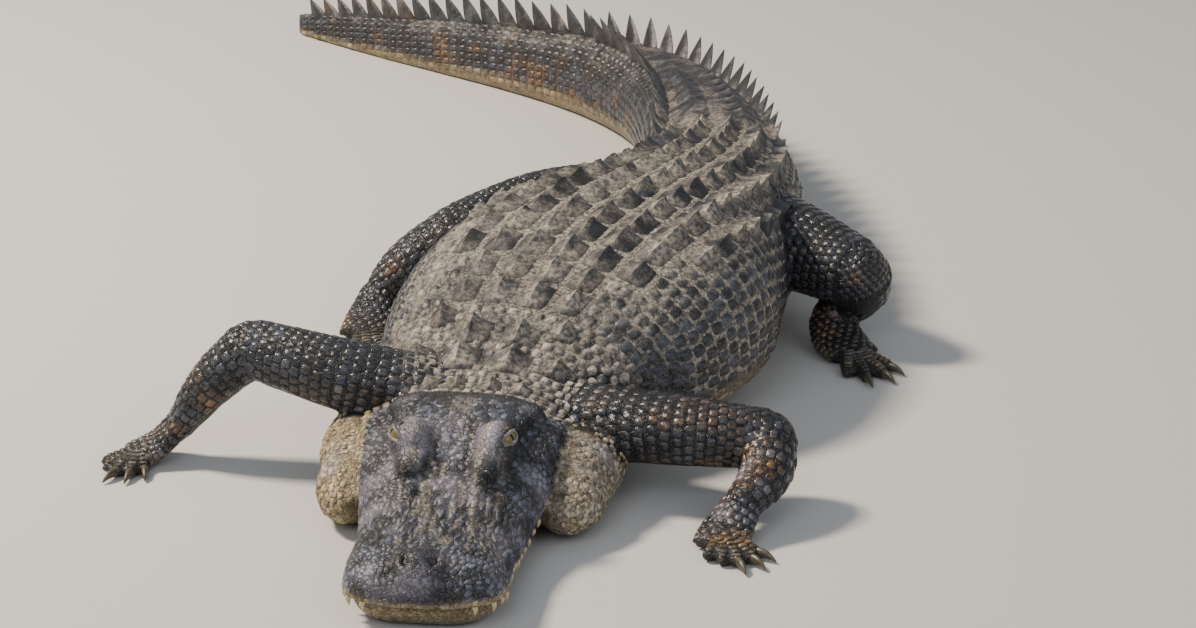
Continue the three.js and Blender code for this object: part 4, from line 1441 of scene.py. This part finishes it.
@dataclass
class BackArmour:
    """The keeled bony plates of the neck, the back and the root of the tail."""

    row_pitch: float = 45.6
    rows: int = 16
    grid: int = 9
    dome: float = 2.6
    # Station, plates on each side, their width and the height of their keels.
    counts: np.ndarray = field(default_factory=lambda: np.array(
        [(560, 1.6, 46, 13), (650, 2.6, 48, 15), (750, 3.6, 49, 16), (1000, 4.1, 46, 17), (1150, 3.4, 42, 18),
         (1290, 2.6, 38, 19)], float))
    # Station, distance from the middle, length, width and keel of the neck's plates.
    neck: tuple = ((408, 20, 26, 28, 9), (410, 56, 24, 28, 9), (462, 31, 44, 54, 18), (470, 86, 34, 38, 14),
                   (510, 30, 40, 52, 18), (534, 78, 32, 38, 14))

    def plate(self, length: float, width: float, keel: float, rng: np.random.Generator) -> tuple:
        """Makes one plate: a low rounded shield with a keel that rises to the rear.

        Args:
            length: Its size along the body.
            width: Its size across.
            keel: The height of its keel.
            rng: Where its pits are drawn from.

        Returns:
            Its points and its faces.
        """
        n = self.grid
        u = np.linspace(-1, 1, n)
        across, along = np.meshgrid(u, u)
        across, along = across.ravel(), along.ravel()
        x = across * (1 - 0.1 * np.abs(along) ** 3) * width / 2
        y = along * (1 - 0.1 * np.abs(across) ** 3) * length / 2
        edge = np.maximum(np.abs(across), np.abs(along))
        dome = self.dome * (1 - edge**4)
        rise = (0.5 + 0.5 * smoothstep(-1, 0.55, along)) * smoothstep(1.1, 0.78, along)
        crest = np.exp(-((np.abs(across) / 0.3) ** 1.3)) * rise * keel * 0.8
        pits = 0.5 * rng.standard_normal(len(x)) * (edge < 0.9)
        h = np.where(edge > 0.99, -1.5, dome + crest * (1 - np.abs(across) ** 6) + pits)
        faces = [[r * n + c, r * n + c + 1, (r + 1) * n + c + 1, (r + 1) * n + c]
                 for r in range(n - 1) for c in range(n - 1)]
        last = n - 1
        border = [c for c in range(last)] + [r * n + last for r in range(last)]
        border += [last * n + c for c in range(last, 0, -1)] + [r * n for r in range(last, 0, -1)]
        faces.append(border[::-1])
        return np.stack([x, y, h], 1), faces

    def build(self) -> Piece:
        """Sets the plates in their rows.

        Returns:
            The joined plates.
        """
        rng = np.random.default_rng(11)
        build = Mesher()
        for i in range(self.rows):
            station = NECK_END + (i + 0.5) * self.row_pitch
            count = round(float(sample(self.counts, station, 1)))
            width, keel = (float(sample(self.counts, station, c)) for c in (2, 3))
            girth = Girth(station)
            for column in range(count):
                outer = column == count - 1 and count > 1
                for side in (-1, 1):
                    size = rng.uniform(0.93, 1.05)
                    shape = self.plate(0.99 * self.row_pitch, width * size * (0.86 if outer else 0.99),
                                       keel * rng.uniform(0.8, 1.04) * (0.85 if outer else 1), rng)
                    place = station + rng.uniform(-1.5, 1.5)
                    self.set_plate(build, girth, place, side * (column + 0.5) * width, shape)
        for station, away, length, width, keel in self.neck:
            for side in (-1, 1):
                shape = self.plate(length * 1.05, width * 1.05, keel, rng)
                self.set_plate(build, Girth(station), station, side * away, shape)
        tones = np.repeat(rng.uniform(0.1, 0.75, len(build.points)), self.grid**2)
        return marked_piece(build, "back_plates", self.zones(np.concatenate(build.points)), tones, 50)

    def set_plate(self, build: Mesher, girth: Girth, station: float, away: float, shape: tuple) -> None:
        """Wraps one plate on the body at a distance round from the middle of the back.

        Args:
            build: What collects the plates.
            girth: The girth there.
            station: Place along the back.
            away: Distance round the body, positive on the left.
            shape: The plate's points and faces.
        """
        local, faces = shape
        angle = girth.angle(away + local[:, 0])
        stations = station + local[:, 1]
        base = body_point(stations, angle, -SCALE_LIFT)
        step = body_point(stations, angle + 0.01) - body_point(stations, angle - 0.01)
        along = body_point(stations + 2, angle) - body_point(stations - 2, angle)
        normal = unit(np.cross(step, along))
        middle = float(girth.angle(away))
        build.add(base + normal * local[:, 2:3], faces, body_root(station, middle), local)

    def zones(self, points: np.ndarray) -> np.ndarray:
        """Gives the plates' markings: mud on top, and painted shade in the seams and in the low valleys
        beside the keels.

        Args:
            points: The points of all plates, in the order in which they were made.

        Returns:
            The channels of Zone.
        """
        zones = markings(points)
        u = np.linspace(-1, 1, self.grid)
        across, along = np.meshgrid(u, u)
        edge = np.maximum(np.abs(across), np.abs(along)).ravel()
        # Painted shade: each plate darkens away from its keel, into its low valleys, and at its seams.
        valley_shade = smoothstep(0.12, 0.6, np.abs(across)).ravel()
        seam_shade = np.maximum(smoothstep(0.66, 0.98, edge), 0.5 * valley_shade)
        zones[:, Zone.GROOVE] = np.tile(seam_shade, len(points) // self.grid**2)
        bare = smoothstep(0.0, 0.55, noise(points, 33, 16)) * smoothstep(600, 700, near_station(points)[0])
        zones[:, Zone.MUD] *= (0.78 + 0.4 * noise(points, 14, 8)) * (1 - 0.75 * bare)
        return zones


TAIL_RINGS = 35
FIRST_RING = 47
RING_SHRINK = 0.37


def tail_rows() -> list[tuple[float, float]]:
    """Lists the tail's rings of scales.

    Returns:
        Station and spacing of each ring, which shrinks towards the tip.
    """
    rows = []
    station = float(TAIL_START)
    for i in range(TAIL_RINGS):
        pitch = FIRST_RING - RING_SHRINK * i
        rows.append((station + pitch / 2, pitch))
        station += pitch
    return rows


@dataclass
class TailCrest:
    """The double crest of the tail that runs into one, with the low keels between."""

    # Station, distance from the middle and height of the blades.
    crest: np.ndarray = field(default_factory=lambda: np.array(
        [(1290, 88, 22), (1450, 72, 32), (1650, 56, 40), (1850, 36, 44), (2050, 9, 46), (2300, 0, 50),
         (2540, 0, 40), (2760, 0, 18)], float))
    join: float = 2050
    inner_end: float = 1720
    inner_keel: float = 9
    root_thickness: float = 6.2
    edge_thickness: float = 0.35
    sunk: float = 6

    def blade(self, length: float, height: float, rng: np.random.Generator) -> tuple:
        """Makes one upright blade, swept back and thin at its edge.

        Args:
            length: Its size along the tail.
            height: How far it stands out.
            rng: Where its bend is drawn from.

        Returns:
            Its points and its faces.
        """
        rings, sides = 7, 10
        bend = rng.uniform(-1.5, 1.5)
        rise = np.linspace(0, 1, rings)[:, None]
        turn = np.arange(sides)[None, :] * 2 * math.pi / sides
        thick = self.root_thickness * (1 - rise) ** 0.9 + self.edge_thickness
        reach = (1 - rise**1.7) * length / 2 + 0.4
        across = thick * np.sin(turn) + bend * rise
        along = (0.06 + 0.52 * rise**1.3) * length + reach * np.cos(turn)
        out = np.broadcast_to(-self.sunk + rise * (height + self.sunk - 0.5), across.shape)
        points = np.stack([across, along, out], -1).reshape(-1, 3)
        return points, [face[::-1] for face in tube_faces(rings, sides)]

    def build(self) -> Piece:
        """Sets the crest's blades and the low keels.

        Returns:
            The joined crest.
        """
        rng = np.random.default_rng(5)
        build = Mesher()
        armour = BackArmour()
        for station, pitch in tail_rows():
            away, height = (float(sample(self.crest, station, c)) for c in (1, 2))
            girth = Girth(station)
            for side in (-1, 1) if station < self.join else (0,):
                blade = self.blade(pitch * 1.02, height * rng.uniform(0.9, 1), rng)
                self.stand(build, girth, station, side * away, blade)
            if station < self.inner_end:
                for side in (-1, 1):
                    shape = armour.plate(pitch * 0.98, away * 0.66, self.inner_keel, rng)
                    armour.set_plate(build, girth, station, side * 0.42 * away, shape)
        points = np.concatenate(build.points)
        zones = markings(points)
        zones[:, Zone.MUD] *= 0.6 + 0.4 * noise(points, 20, 8)
        # An even painted shade darkens the blades and the low keels, like the seams of the back plates.
        zones[:, Zone.GROOVE] = 0.35
        return marked_piece(build, "tail_crest", zones, 0.5, 50)

    def stand(self, build: Mesher, girth: Girth, station: float, away: float, shape: tuple) -> None:
        """Stands one blade on the tail.

        Args:
            build: What collects the blades.
            girth: The girth there.
            station: Place along the back.
            away: Distance round the tail, positive on the left.
            shape: The blade's points and faces.
        """
        local, faces = shape
        angle = float(girth.angle(away))
        here = body_point(station, angle)
        along = unit(body_point(station + 4, angle) - body_point(station - 4, angle))
        normal = unit(np.cross(body_point(station, angle + 0.03) - body_point(station, angle - 0.03), along))
        across = np.cross(along, normal)
        points = here + local[:, :1] * across + local[:, 1:2] * along + local[:, 2:3] * normal
        build.add(points, faces, body_root(station, angle), local)


@dataclass
class Scales:
    """The flat scales of flanks, neck, tail, head, jowls and legs, set in rows."""

    cover: SkinCover
    # How far round from the middle of the back the scales go, as a share of a quarter turn.
    flank_reach: float = 1.32
    neck_reach: float = 1.2
    flank_pitch: float = 22.8
    last_row: float = 2735
    leg_size: float = 13.0
    foot_size: float = 9.5
    toe_pitch: float = 8.0
    head_half_turn: float = 1.52
    nostril_clear: float = 15
    jowl_clear: float = 6

    def on_body(self, build: Mesher, shape: tuple, station: float, angle: float, reach: float = 30) -> None:
        """Lays one scale on the neck, the trunk or the tail.

        Args:
            build: What collects the scales.
            shape: The scale's points and faces.
            station: Place along the back.
            angle: Angle round the body.
            reach: The furthest that the skin may be.
        """
        at = body_point(station, angle)
        along = body_point(station + 4, angle) - body_point(station - 4, angle)
        normal = np.cross(body_point(station, angle + 0.03) - body_point(station, angle - 0.03), along)
        self.cover.lay(build, shape, at, along, normal, body_root(station, angle), reach)

    def flank(self) -> Piece:
        """Lays the net of scales on the flanks and the sides of the tail.

        Returns:
            The joined scales.
        """
        rng = np.random.default_rng(21)
        build = Mesher()
        armour, crest = BackArmour(), TailCrest()
        station = NECK_END + 6.0
        while station < self.last_row:
            tail = station > TAIL_START
            girth = Girth(station)
            half = float(np.interp(0.5 * math.pi * self.flank_reach, girth.angles, girth.rounds))
            if tail:
                pitch = float(np.interp(station, [1290, 2700], [23.3, 17]))
                start = max(float(sample(crest.crest, min(station, BODY_END), 1)) + 10, 9)
            else:
                pitch = self.flank_pitch
                count, width = (float(sample(armour.counts, station, c)) for c in (1, 2))
                start = round(count) * width + 8
            size = float(np.interp(station, [560, 1290, 2700], [18.5, 19, 9]))
            for column in range(int((half - start) / size) + 1):
                for side in (-1, 1):
                    away = side * (start + (column + 0.1 * rng.uniform(-1, 1)) * size)
                    place = station + rng.uniform(-1.2, 1.2)
                    shape = tile(pitch * rng.uniform(0.84, 0.93), size * rng.uniform(0.8, 0.9),
                                 2.0 if tail else 2.2, 0.25)
                    self.on_body(build, shape, place, float(girth.angle(away)))
            station += pitch
        return self.finish(build, "flank_scales", 0.25, Cover.FLANK)

    def neck(self) -> Piece:
        """Lays the rounded scales of the neck and the small ones between its plates.

        Returns:
            The joined scales.
        """
        rng = np.random.default_rng(22)
        build = Mesher()
        taken = [(s, side * a, 0.5 * max(ln, w)) for s, a, ln, w, _ in BackArmour().neck for side in (-1, 1)]
        station = 380.0
        while station < NECK_END + 4:
            girth = Girth(station)
            size = float(np.interp(station, [380, 560], [12.5, 17]))
            half = float(np.interp(0.5 * math.pi * self.neck_reach, girth.angles, girth.rounds))
            for away in np.arange(-half + rng.uniform(0, size), half, size):
                if any((station - s) ** 2 + (away - a) ** 2 < r * r for s, a, r in taken):
                    continue
                shape = tile(size * rng.uniform(0.8, 1.0), size * rng.uniform(0.78, 0.95),
                             rng.uniform(1.8, 3.2), 0.2)
                self.on_body(build, shape, station, float(girth.angle(away)), 14)
            station += size * 0.98
        return self.finish(build, "neck_scales", 0.6)

    def head(self) -> Piece:
        """Lays the cracked scales of the head: long ones on the snout, small ones round the eyes.

        Returns:
            The joined scales.
        """
        rng = np.random.default_rng(25)
        build = Mesher()
        turns = np.linspace(-self.head_half_turn, self.head_half_turn, 80)
        station, row = 12.0, 0
        while station < 392:
            snout = float(smoothstep(215, 165, station))
            long = 9.0 + 10.0 * snout * float(smoothstep(60, 90, station))
            wide = 9.5 - 2.2 * snout
            ring = skull_point(station, turns)
            walked = np.concatenate([[0], np.cumsum(np.linalg.norm(np.diff(ring, axis=0), axis=1))])
            columns = int(walked[-1] / wide)
            for k in range(columns):
                round_it = walked[-1] * (k + 0.5 + 0.5 * (row % 2)) / columns
                angle = float(np.interp(round_it, walked, turns)) + rng.uniform(-0.03, 0.03)
                here = station + rng.uniform(-0.35, 0.35) * long
                at = skull_point(here, angle)
                left = abs(float(near_station(at[None])[1][0]))
                if math.hypot(here - 28, left - 14) < self.nostril_clear or rng.random() < 0.1:
                    continue
                along = skull_point(here + 3, angle) - skull_point(here - 3, angle)
                normal = np.cross(skull_point(here, angle + 0.02) - skull_point(here, angle - 0.02), along)
                turn = np.cross(unit(along), unit(normal)) * rng.uniform(-0.55, 0.55)
                on_snout = abs(angle) < 0.8 and snout > 0.5
                height = rng.uniform(0.5, 1.4) if on_snout else rng.uniform(0.35, 0.9)
                shape = tile(long * rng.uniform(0.7, 1.25), wide * rng.uniform(0.7, 1.2), height, 0.1)
                root = (0.02 + station / 2900, 0.62 + angle / 9)
                self.cover.lay(build, shape, at, unit(along) + turn, normal, root, 34)
            station += long * 0.96
            row += 1
        return self.finish(build, "head_scales", 0.45, spread=0.45)

    def jowls(self) -> Piece:
        """Lays the pale pebbles on the jowls and the sides of the throat.

        Returns:
            The joined pebbles.
        """
        rng = np.random.default_rng(23)
        build = Mesher()
        count = int(4 * math.pi * 60 * 50 / 62)
        for side in (-1, 1):
            for station, left, z, *half in JOWLS:
                middle, radii = np.array([station, side * left, z]), np.array(half) - 1
                for i in range(count):
                    spot = ball_spot(i, count)[[2, 0, 1]]
                    spot = unit(spot + rng.uniform(-0.055, 0.055, 3))
                    place = middle + spot * radii
                    if spot[1] * side < 0.05 or spot[2] > 0.9 or place[2] < self.jowl_clear:
                        continue
                    _, back, out = SPINE.frame(place[0])
                    normal = (spot / radii) @ np.array([back, out, UP])
                    shape = tile(rng.uniform(6.8, 9), rng.uniform(6.6, 8.4), rng.uniform(0.9, 1.8))
                    corner = 0.14 + 0.22 * (side > 0) + 0.44 * (station < 360)
                    root = (corner + 0.1 * spot[0], 0.9 + 0.08 * spot[2])
                    self.cover.lay(build, shape, SPINE.point(*place), back + 0.2 * rng.uniform(-1, 1) * out,
                                   normal, root, 4.5)
        return self.finish(build, "jowl_scales", 0.6)

    def legs(self) -> Piece:
        """Lays the scales of the legs, and bands across the toes.

        Returns:
            The joined scales.
        """
        rng = np.random.default_rng(24)
        build = Mesher()
        for order, limb in enumerate(ALL_LIMBS):
            root = 0.02 + 0.24 * order
            for start, end in LENGTHS:
                size = self.leg_size if start < 4 else self.foot_size
                self.wrap(build, limb.section(start, end), (start, end), size, rng, root)
            self.cap(build, limb, 2, 11.0, rng, root)
            self.cap(build, limb, 4, 9.0, rng, root)
            for number in range(len(limb.headings)):
                section = LimbSection(limb.toe_rows(number))
                for at in np.arange(0.38, 0.98, self.toe_pitch / limb.lengths[number]):
                    along, _, rise = section.axes(at)
                    shape = tile(7.6, 1.5 * float(sample(section.rows, at, 4)), 1.6, 0.3)
                    place = (root + 0.2 * at, 0.43 - 0.008 * number)
                    self.cover.lay(build, shape, section.point(at, 0.0), along, rise, place, 6)
        return self.finish(build, "leg_scales", 0.9, Cover.LEG)

    def wrap(self, build: Mesher, section: LimbSection, ends: tuple[float, float], size: float,
             rng: np.random.Generator, root: float) -> None:
        """Lays rows of scales round one stretch of a leg.

        Args:
            build: What collects the scales.
            section: The stretch.
            ends: Where it starts and ends.
            size: The size of a scale.
            rng: Where the scales' sizes are drawn from.
            root: Where the leg starts on the unwrapped skin.
        """
        start, end = ends
        length = float(np.linalg.norm(section.centre(end) - section.centre(start)))
        rows = int(length / (size * 0.95))
        for r in range(rows):
            at = start + (end - start) * (r + 0.5) / rows
            around = math.pi * (float(sample(section.rows, at, 4)) + float(sample(section.rows, at, 5)))
            columns = max(6, int(around / size))
            along, side, rise = section.axes(at)
            for k in range(columns):
                turn = (k + 0.5 * (r % 2)) / columns
                angle = 2 * math.pi * turn
                place = section.point(at, angle)
                if math.cos(angle) < -0.75 or place[2] < 3:
                    continue
                normal = side * math.sin(angle) + rise * math.cos(angle)
                shape = tile(size * rng.uniform(0.92, 1.12), size * rng.uniform(0.9, 1.06),
                             rng.uniform(0.8, 1.3), 0.3)
                grown = (root + 0.036 * at, 0.02 + 0.34 * turn)
                self.cover.lay(build, shape, place, along, normal, grown, 9)

    def cap(self, build: Mesher, limb: Limb, joint: int, size: float, rng: np.random.Generator,
            root: float) -> None:
        """Lays scales over the outside of a bent knee, elbow or ankle, between the rows of its two lengths.

        Args:
            build: What collects the scales.
            limb: The leg.
            joint: The row that the joint is at.
            size: The size of a scale.
            rng: Where the scales' sizes are drawn from.
            root: Where the leg starts on the unwrapped skin.
        """
        before, after = limb.section(joint - 2, joint), limb.section(joint, joint + 2)
        ahead, onward = before.axes(joint - 0.05)[0], after.axes(joint + 0.05)[0]
        radius = float(min(before.rows[-1, 4], before.rows[-1, 5]))
        count = int(4 * math.pi * radius**2 / (0.85 * size**2))
        for i in range(count):
            spot = ball_spot(i, count)
            if spot @ ahead < 0.12 or spot @ onward > -0.12 or spot[2] < -0.75:
                continue
            shape = tile(size * rng.uniform(0.9, 1.1), size * rng.uniform(0.88, 1.04),
                         rng.uniform(0.8, 1.3), 0.2)
            place = (root + 0.036 * joint, 0.2 + 0.1 * math.acos(spot[2]))
            self.cover.lay(build, shape, before.centre(joint) + spot * radius, ahead, spot, place, 14)

    def finish(self, build: Mesher, name: str, seam_shade: float, cover: Cover = Cover.BODY,
               spread: float = 1.0) -> Piece:
        """Makes the piece with its markings and its map.

        Args:
            build: What collected the scales.
            name: The piece's name.
            seam_shade: How much painted shade darkens the scales' edges, where they meet the skin.
            cover: What the scales are on.
            spread: How much their tones differ.

        Returns:
            The piece.
        """
        points = np.concatenate(build.points)
        zones = markings(points, cover)
        # Painted shade darkens each scale's base ring, where it meets the skin.
        ring = np.concatenate([np.ones(TILE_RING), np.zeros(TILE_RING + 1)])
        zones[:, Zone.GROOVE] = seam_shade * np.tile(ring, len(build.points))
        tones = 0.5 + spread * (np.random.default_rng(len(points)).random(len(build.points)) - 0.5)
        return marked_piece(build, name, zones, np.repeat(tones, len(ring)), 60)


@dataclass
class Eye:
    """One eyeball with its lids."""

    side: int
    cornea: float = 0.05
    lid_half_length: float = 15.0
    upper_lid: float = 6.6
    lower_lid: float = 5.2
    rim_thickness: float = 1.7
    rim_width: float = 2.2
    rim_clear: float = 0.6

    def build(self) -> tuple[Piece, Piece]:
        """Makes the eyeball, turned outwards and forwards, and the rims of its lids.

        Returns:
            The eyeball and the lids.
        """
        word = "left" if self.side > 0 else "right"
        centre = SPINE.point(EYE_STATION, self.side * EYE_LEFT, EYE_HEIGHT)
        gaze, along, over = eye_axes(self.side)
        build = Mesher()
        local, faces = ball(np.zeros(3), np.eye(3), (1, 1, 1), 40)
        bulged = local * (1 + self.cornea * smoothstep(0.6, 1, local[:, 2]))[:, None]
        build.add(centre + (bulged * EYE_RADIUS) @ np.array([np.cross(over, gaze), over, gaze]), faces)
        eye = build.make(f"eyeball_{word}")
        layer = eye.data.attributes.new("gaze", "FLOAT_VECTOR", "POINT")
        layer.data.foreach_set("vector", local.astype(np.float32).ravel())
        smooth_shade(eye)
        return eye, self.lids(f"eyelids_{word}", centre, (gaze, along, over))

    def lids(self, name: str, centre: np.ndarray, axes: tuple) -> Piece:
        """Makes the thick wet rims of the upper and lower lid.

        Args:
            name: The piece's name.
            centre: The middle of the eyeball.
            axes: Where the eye looks, along its lids and over them.

        Returns:
            The closed ring of both rims.
        """
        gaze, along, over = axes
        rings, sides = 32, 8
        radius = EYE_RADIUS + self.rim_clear
        points = []
        for t in np.arange(rings) * 2 * math.pi / rings:
            reach = self.lid_half_length * math.cos(t)
            lift = (self.upper_lid if math.sin(t) > 0 else self.lower_lid) * math.sin(t)
            out = math.sqrt(max(radius**2 - reach**2 - lift**2, 9.0))
            away = unit(along * reach + over * lift + gaze * out)
            ring = unit(-along * math.sin(t) + over * math.cos(t) * 0.45)
            cross = unit(np.cross(ring, away))
            for a in np.arange(sides) * 2 * math.pi / sides:
                thick = away * (radius + self.rim_thickness * math.sin(a))
                points.append(centre + thick + cross * self.rim_width * math.cos(a))
        faces = []
        for r in range(rings):
            here, there = r * sides, (r + 1) % rings * sides
            for k in range(sides):
                n = (k + 1) % sides
                faces.append([here + k, here + n, there + n, there + k])
        build = Mesher()
        build.add(np.array(points), faces)
        zones = markings(np.array(points))
        zones[:, Zone.MUD] = 0.35
        lids = marked_piece(build, name, zones, 0.5, 180)
        only(lids)
        bpy.ops.object.mode_set(mode="EDIT")
        bpy.ops.mesh.select_all(action="SELECT")
        bpy.ops.mesh.normals_make_consistent(inside=False)
        bpy.ops.object.mode_set(mode="OBJECT")
        return lids


@dataclass
class Teeth:
    """The upper teeth that show outside the lower jaw."""

    stations: tuple = (14, 30, 46, 62, 96, 112, 128, 144, 160, 178, 196, 214, 232)
    fangs: tuple = (3, 7)
    fang_length: float = 11
    length: float = 7
    sunk: float = 4
    radius: float = 3.3
    curve: float = 1.2

    def build(self) -> Piece:
        """Makes the row of teeth on both sides.

        Returns:
            The joined teeth.
        """
        rings, sides = 6, 10
        rise = np.linspace(0, 1, rings)
        turn = np.arange(sides) * 2 * math.pi / sides
        circle = np.stack([np.cos(turn), np.sin(turn), np.zeros(sides)], 1)
        build = Mesher()
        for i, station in enumerate(self.stations):
            long = self.fang_length if i in self.fangs else self.length + 1.5 * math.sin(2.1 * i)
            inset = 7 if station < 30 else 5
            half, mouth = (float(sample(HEAD, station, c)) for c in (1, 3))
            _, _, left = SPINE.frame(station)
            for side in (-1, 1):
                root = SPINE.point(station, side * (half - inset), mouth + self.sunk)
                middle = root - np.outer(rise * (long + self.sunk), UP)
                middle = middle + np.outer(self.curve * np.sin(math.pi * rise), left * side)
                radii = self.radius * (1 - rise**1.7) + 0.3
                points = middle[:, None] + radii[:, None, None] * circle[None]
                build.add(points.reshape(-1, 3), [face[::-1] for face in tube_faces(rings, sides)])
        piece = build.make("teeth")
        smooth_shade(piece, 60)
        return piece


@dataclass
class Claws:
    """The claws of one foot: the three inner toes carry one each."""

    limb: Limb

    def build(self) -> list[Piece]:
        """Makes each claw as its own piece.

        Returns:
            The claws, from the inner one.
        """
        made = []
        for order, number in enumerate(self.limb.clawed()):
            build = Mesher()
            build.add(*LimbSection(self.limb.claw_rows(number)).tube(14, 14))
            piece = build.make(f"horn_claw_{self.limb.name}_{order + 1}")
            smooth_shade(piece, 70)
            made.append(piece)
        return made


@dataclass
class Studio:
    """Floor, light and camera."""

    # Name, place, power in watts, size and colour: a key behind on the animal's right, and two fills.
    lamps: tuple = (("key", (-3.0, 0.8, 3.8), 400, 0.8, "#fff0dd"),
                    ("fill", (2.8, -3.2, 2.8), 40, 3.0, "#eef3ff"),
                    ("front", (-1.2, -4.4, 3.4), 60, 2.5, "#eef3ff"))
    aim: tuple = (0.0, 0.2, 0.1)
    sky: str = "#dfe6ee"
    sky_strength: float = 0.42
    floor_colour: str = "#c9c7c2"
    photo_width: float = 1196
    focal_pixels: float = 3450
    camera_place: tuple = (0.021, -4.093, 1.625)
    camera_dip: float = 20.3

    def build(self) -> None:
        """Sets the studio up."""
        self.floor()
        self.lights()
        self.camera()

    def floor(self) -> None:
        """Lays a plain pale floor of matt paint."""
        bpy.ops.object.select_all(action="DESELECT")
        bpy.ops.mesh.primitive_plane_add(size=30, location=(0, 6, 0))
        floor = bpy.context.active_object
        floor.name = "floor"
        made = bpy.data.materials.new("matt pale floor")
        made.use_nodes = True
        shader = made.node_tree.nodes["Principled BSDF"]
        shader.inputs["Base Color"].default_value = linear(self.floor_colour)
        shader.inputs["Roughness"].default_value = 0.9
        floor.data.materials.append(made)

    def lights(self) -> None:
        """Places the lamps, each turned to the animal, and a low sky."""
        world = bpy.data.worlds.new("soft sky")
        bpy.context.scene.world = world
        world.use_nodes = True
        background = world.node_tree.nodes["Background"]
        background.inputs[0].default_value = linear(self.sky)
        background.inputs[1].default_value = self.sky_strength
        for name, place, power, size, colour in self.lamps:
            data = bpy.data.lights.new(name, "AREA")
            data.energy, data.size = power, size
            data.color = linear(colour)[:3]
            lamp = bpy.data.objects.new(name, data)
            bpy.context.collection.objects.link(lamp)
            lamp.location = place
            x, y, z = np.array(self.aim) - np.array(place)
            lamp.rotation_euler = (math.atan2(math.hypot(x, y), -z), 0, math.atan2(x, -y) + math.pi)

    def camera(self) -> None:
        """Sets the camera as the photograph was taken: from the front and above, with a long lens."""
        data = bpy.data.cameras.new("camera")
        data.sensor_width = 36
        data.lens = self.focal_pixels / self.photo_width * data.sensor_width
        camera = bpy.data.objects.new("camera", data)
        bpy.context.collection.objects.link(camera)
        camera.location = self.camera_place
        camera.rotation_euler = (math.radians(90 - self.camera_dip), 0, 0)
        bpy.context.scene.camera = camera


def dress(piece: Piece, finish: Hide | Horn | Eyeshine, slot: str, *nodes: str) -> None:
    """Gives a piece its finish and its place in the frame.

    Args:
        piece: The piece.
        finish: What its surface is.
        slot: The record's material slot; not used.
        nodes: The solids that it stands for.
    """
    piece.data.materials.clear()
    piece.data.materials.append(finish.material())
    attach(piece, "root")
    if nodes:
        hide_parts(*nodes)
    LOG.info("%s: %d triangles", piece.name, sum(len(p.vertices) - 2 for p in piece.data.polygons))


def main() -> None:
    """Builds the animal piece by piece and sets it in the studio."""
    logging.basicConfig(level=logging.INFO, format="%(message)s")
    flesh = [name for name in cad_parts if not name.startswith(("claw", "eye"))]
    skin = Skin().build()
    dress(skin, WRINKLED_HIDE, "dark_hide", *flesh)
    scales = Scales(SkinCover(skin))
    dress(BackArmour().build(), MUDDY_PLATES, "back_hide")
    dress(TailCrest().build(), CREST_KERATIN, "back_hide")
    dress(scales.flank(), FLANK_SCALES, "back_hide")
    dress(scales.neck(), NECK_PEBBLES, "back_hide")
    dress(scales.head(), HEAD_SCALES, "dark_hide")
    dress(scales.jowls(), JOWL_PEBBLES, "dark_hide")
    dress(scales.legs(), WET_LEG_SCALES, "dark_hide")
    for side, word in ((-1, "right"), (1, "left")):
        eye, lids = Eye(side).build()
        dress(eye, Eyeshine(), "eye_gold", f"eye_{word}")
        dress(lids, EYELID_SKIN, "dark_hide")
    dress(Teeth().build(), TOOTH_ENAMEL, "dark_hide")
    for limb in ALL_LIMBS:
        end, side = limb.name.split("_")
        for order, claw in enumerate(Claws(limb).build()):
            dress(claw, CLAW_HORN, "claw_horn", f"claw_{end}_{side}_{order + 1}")
    Studio().build()


if __name__ == "__main__":
    main()
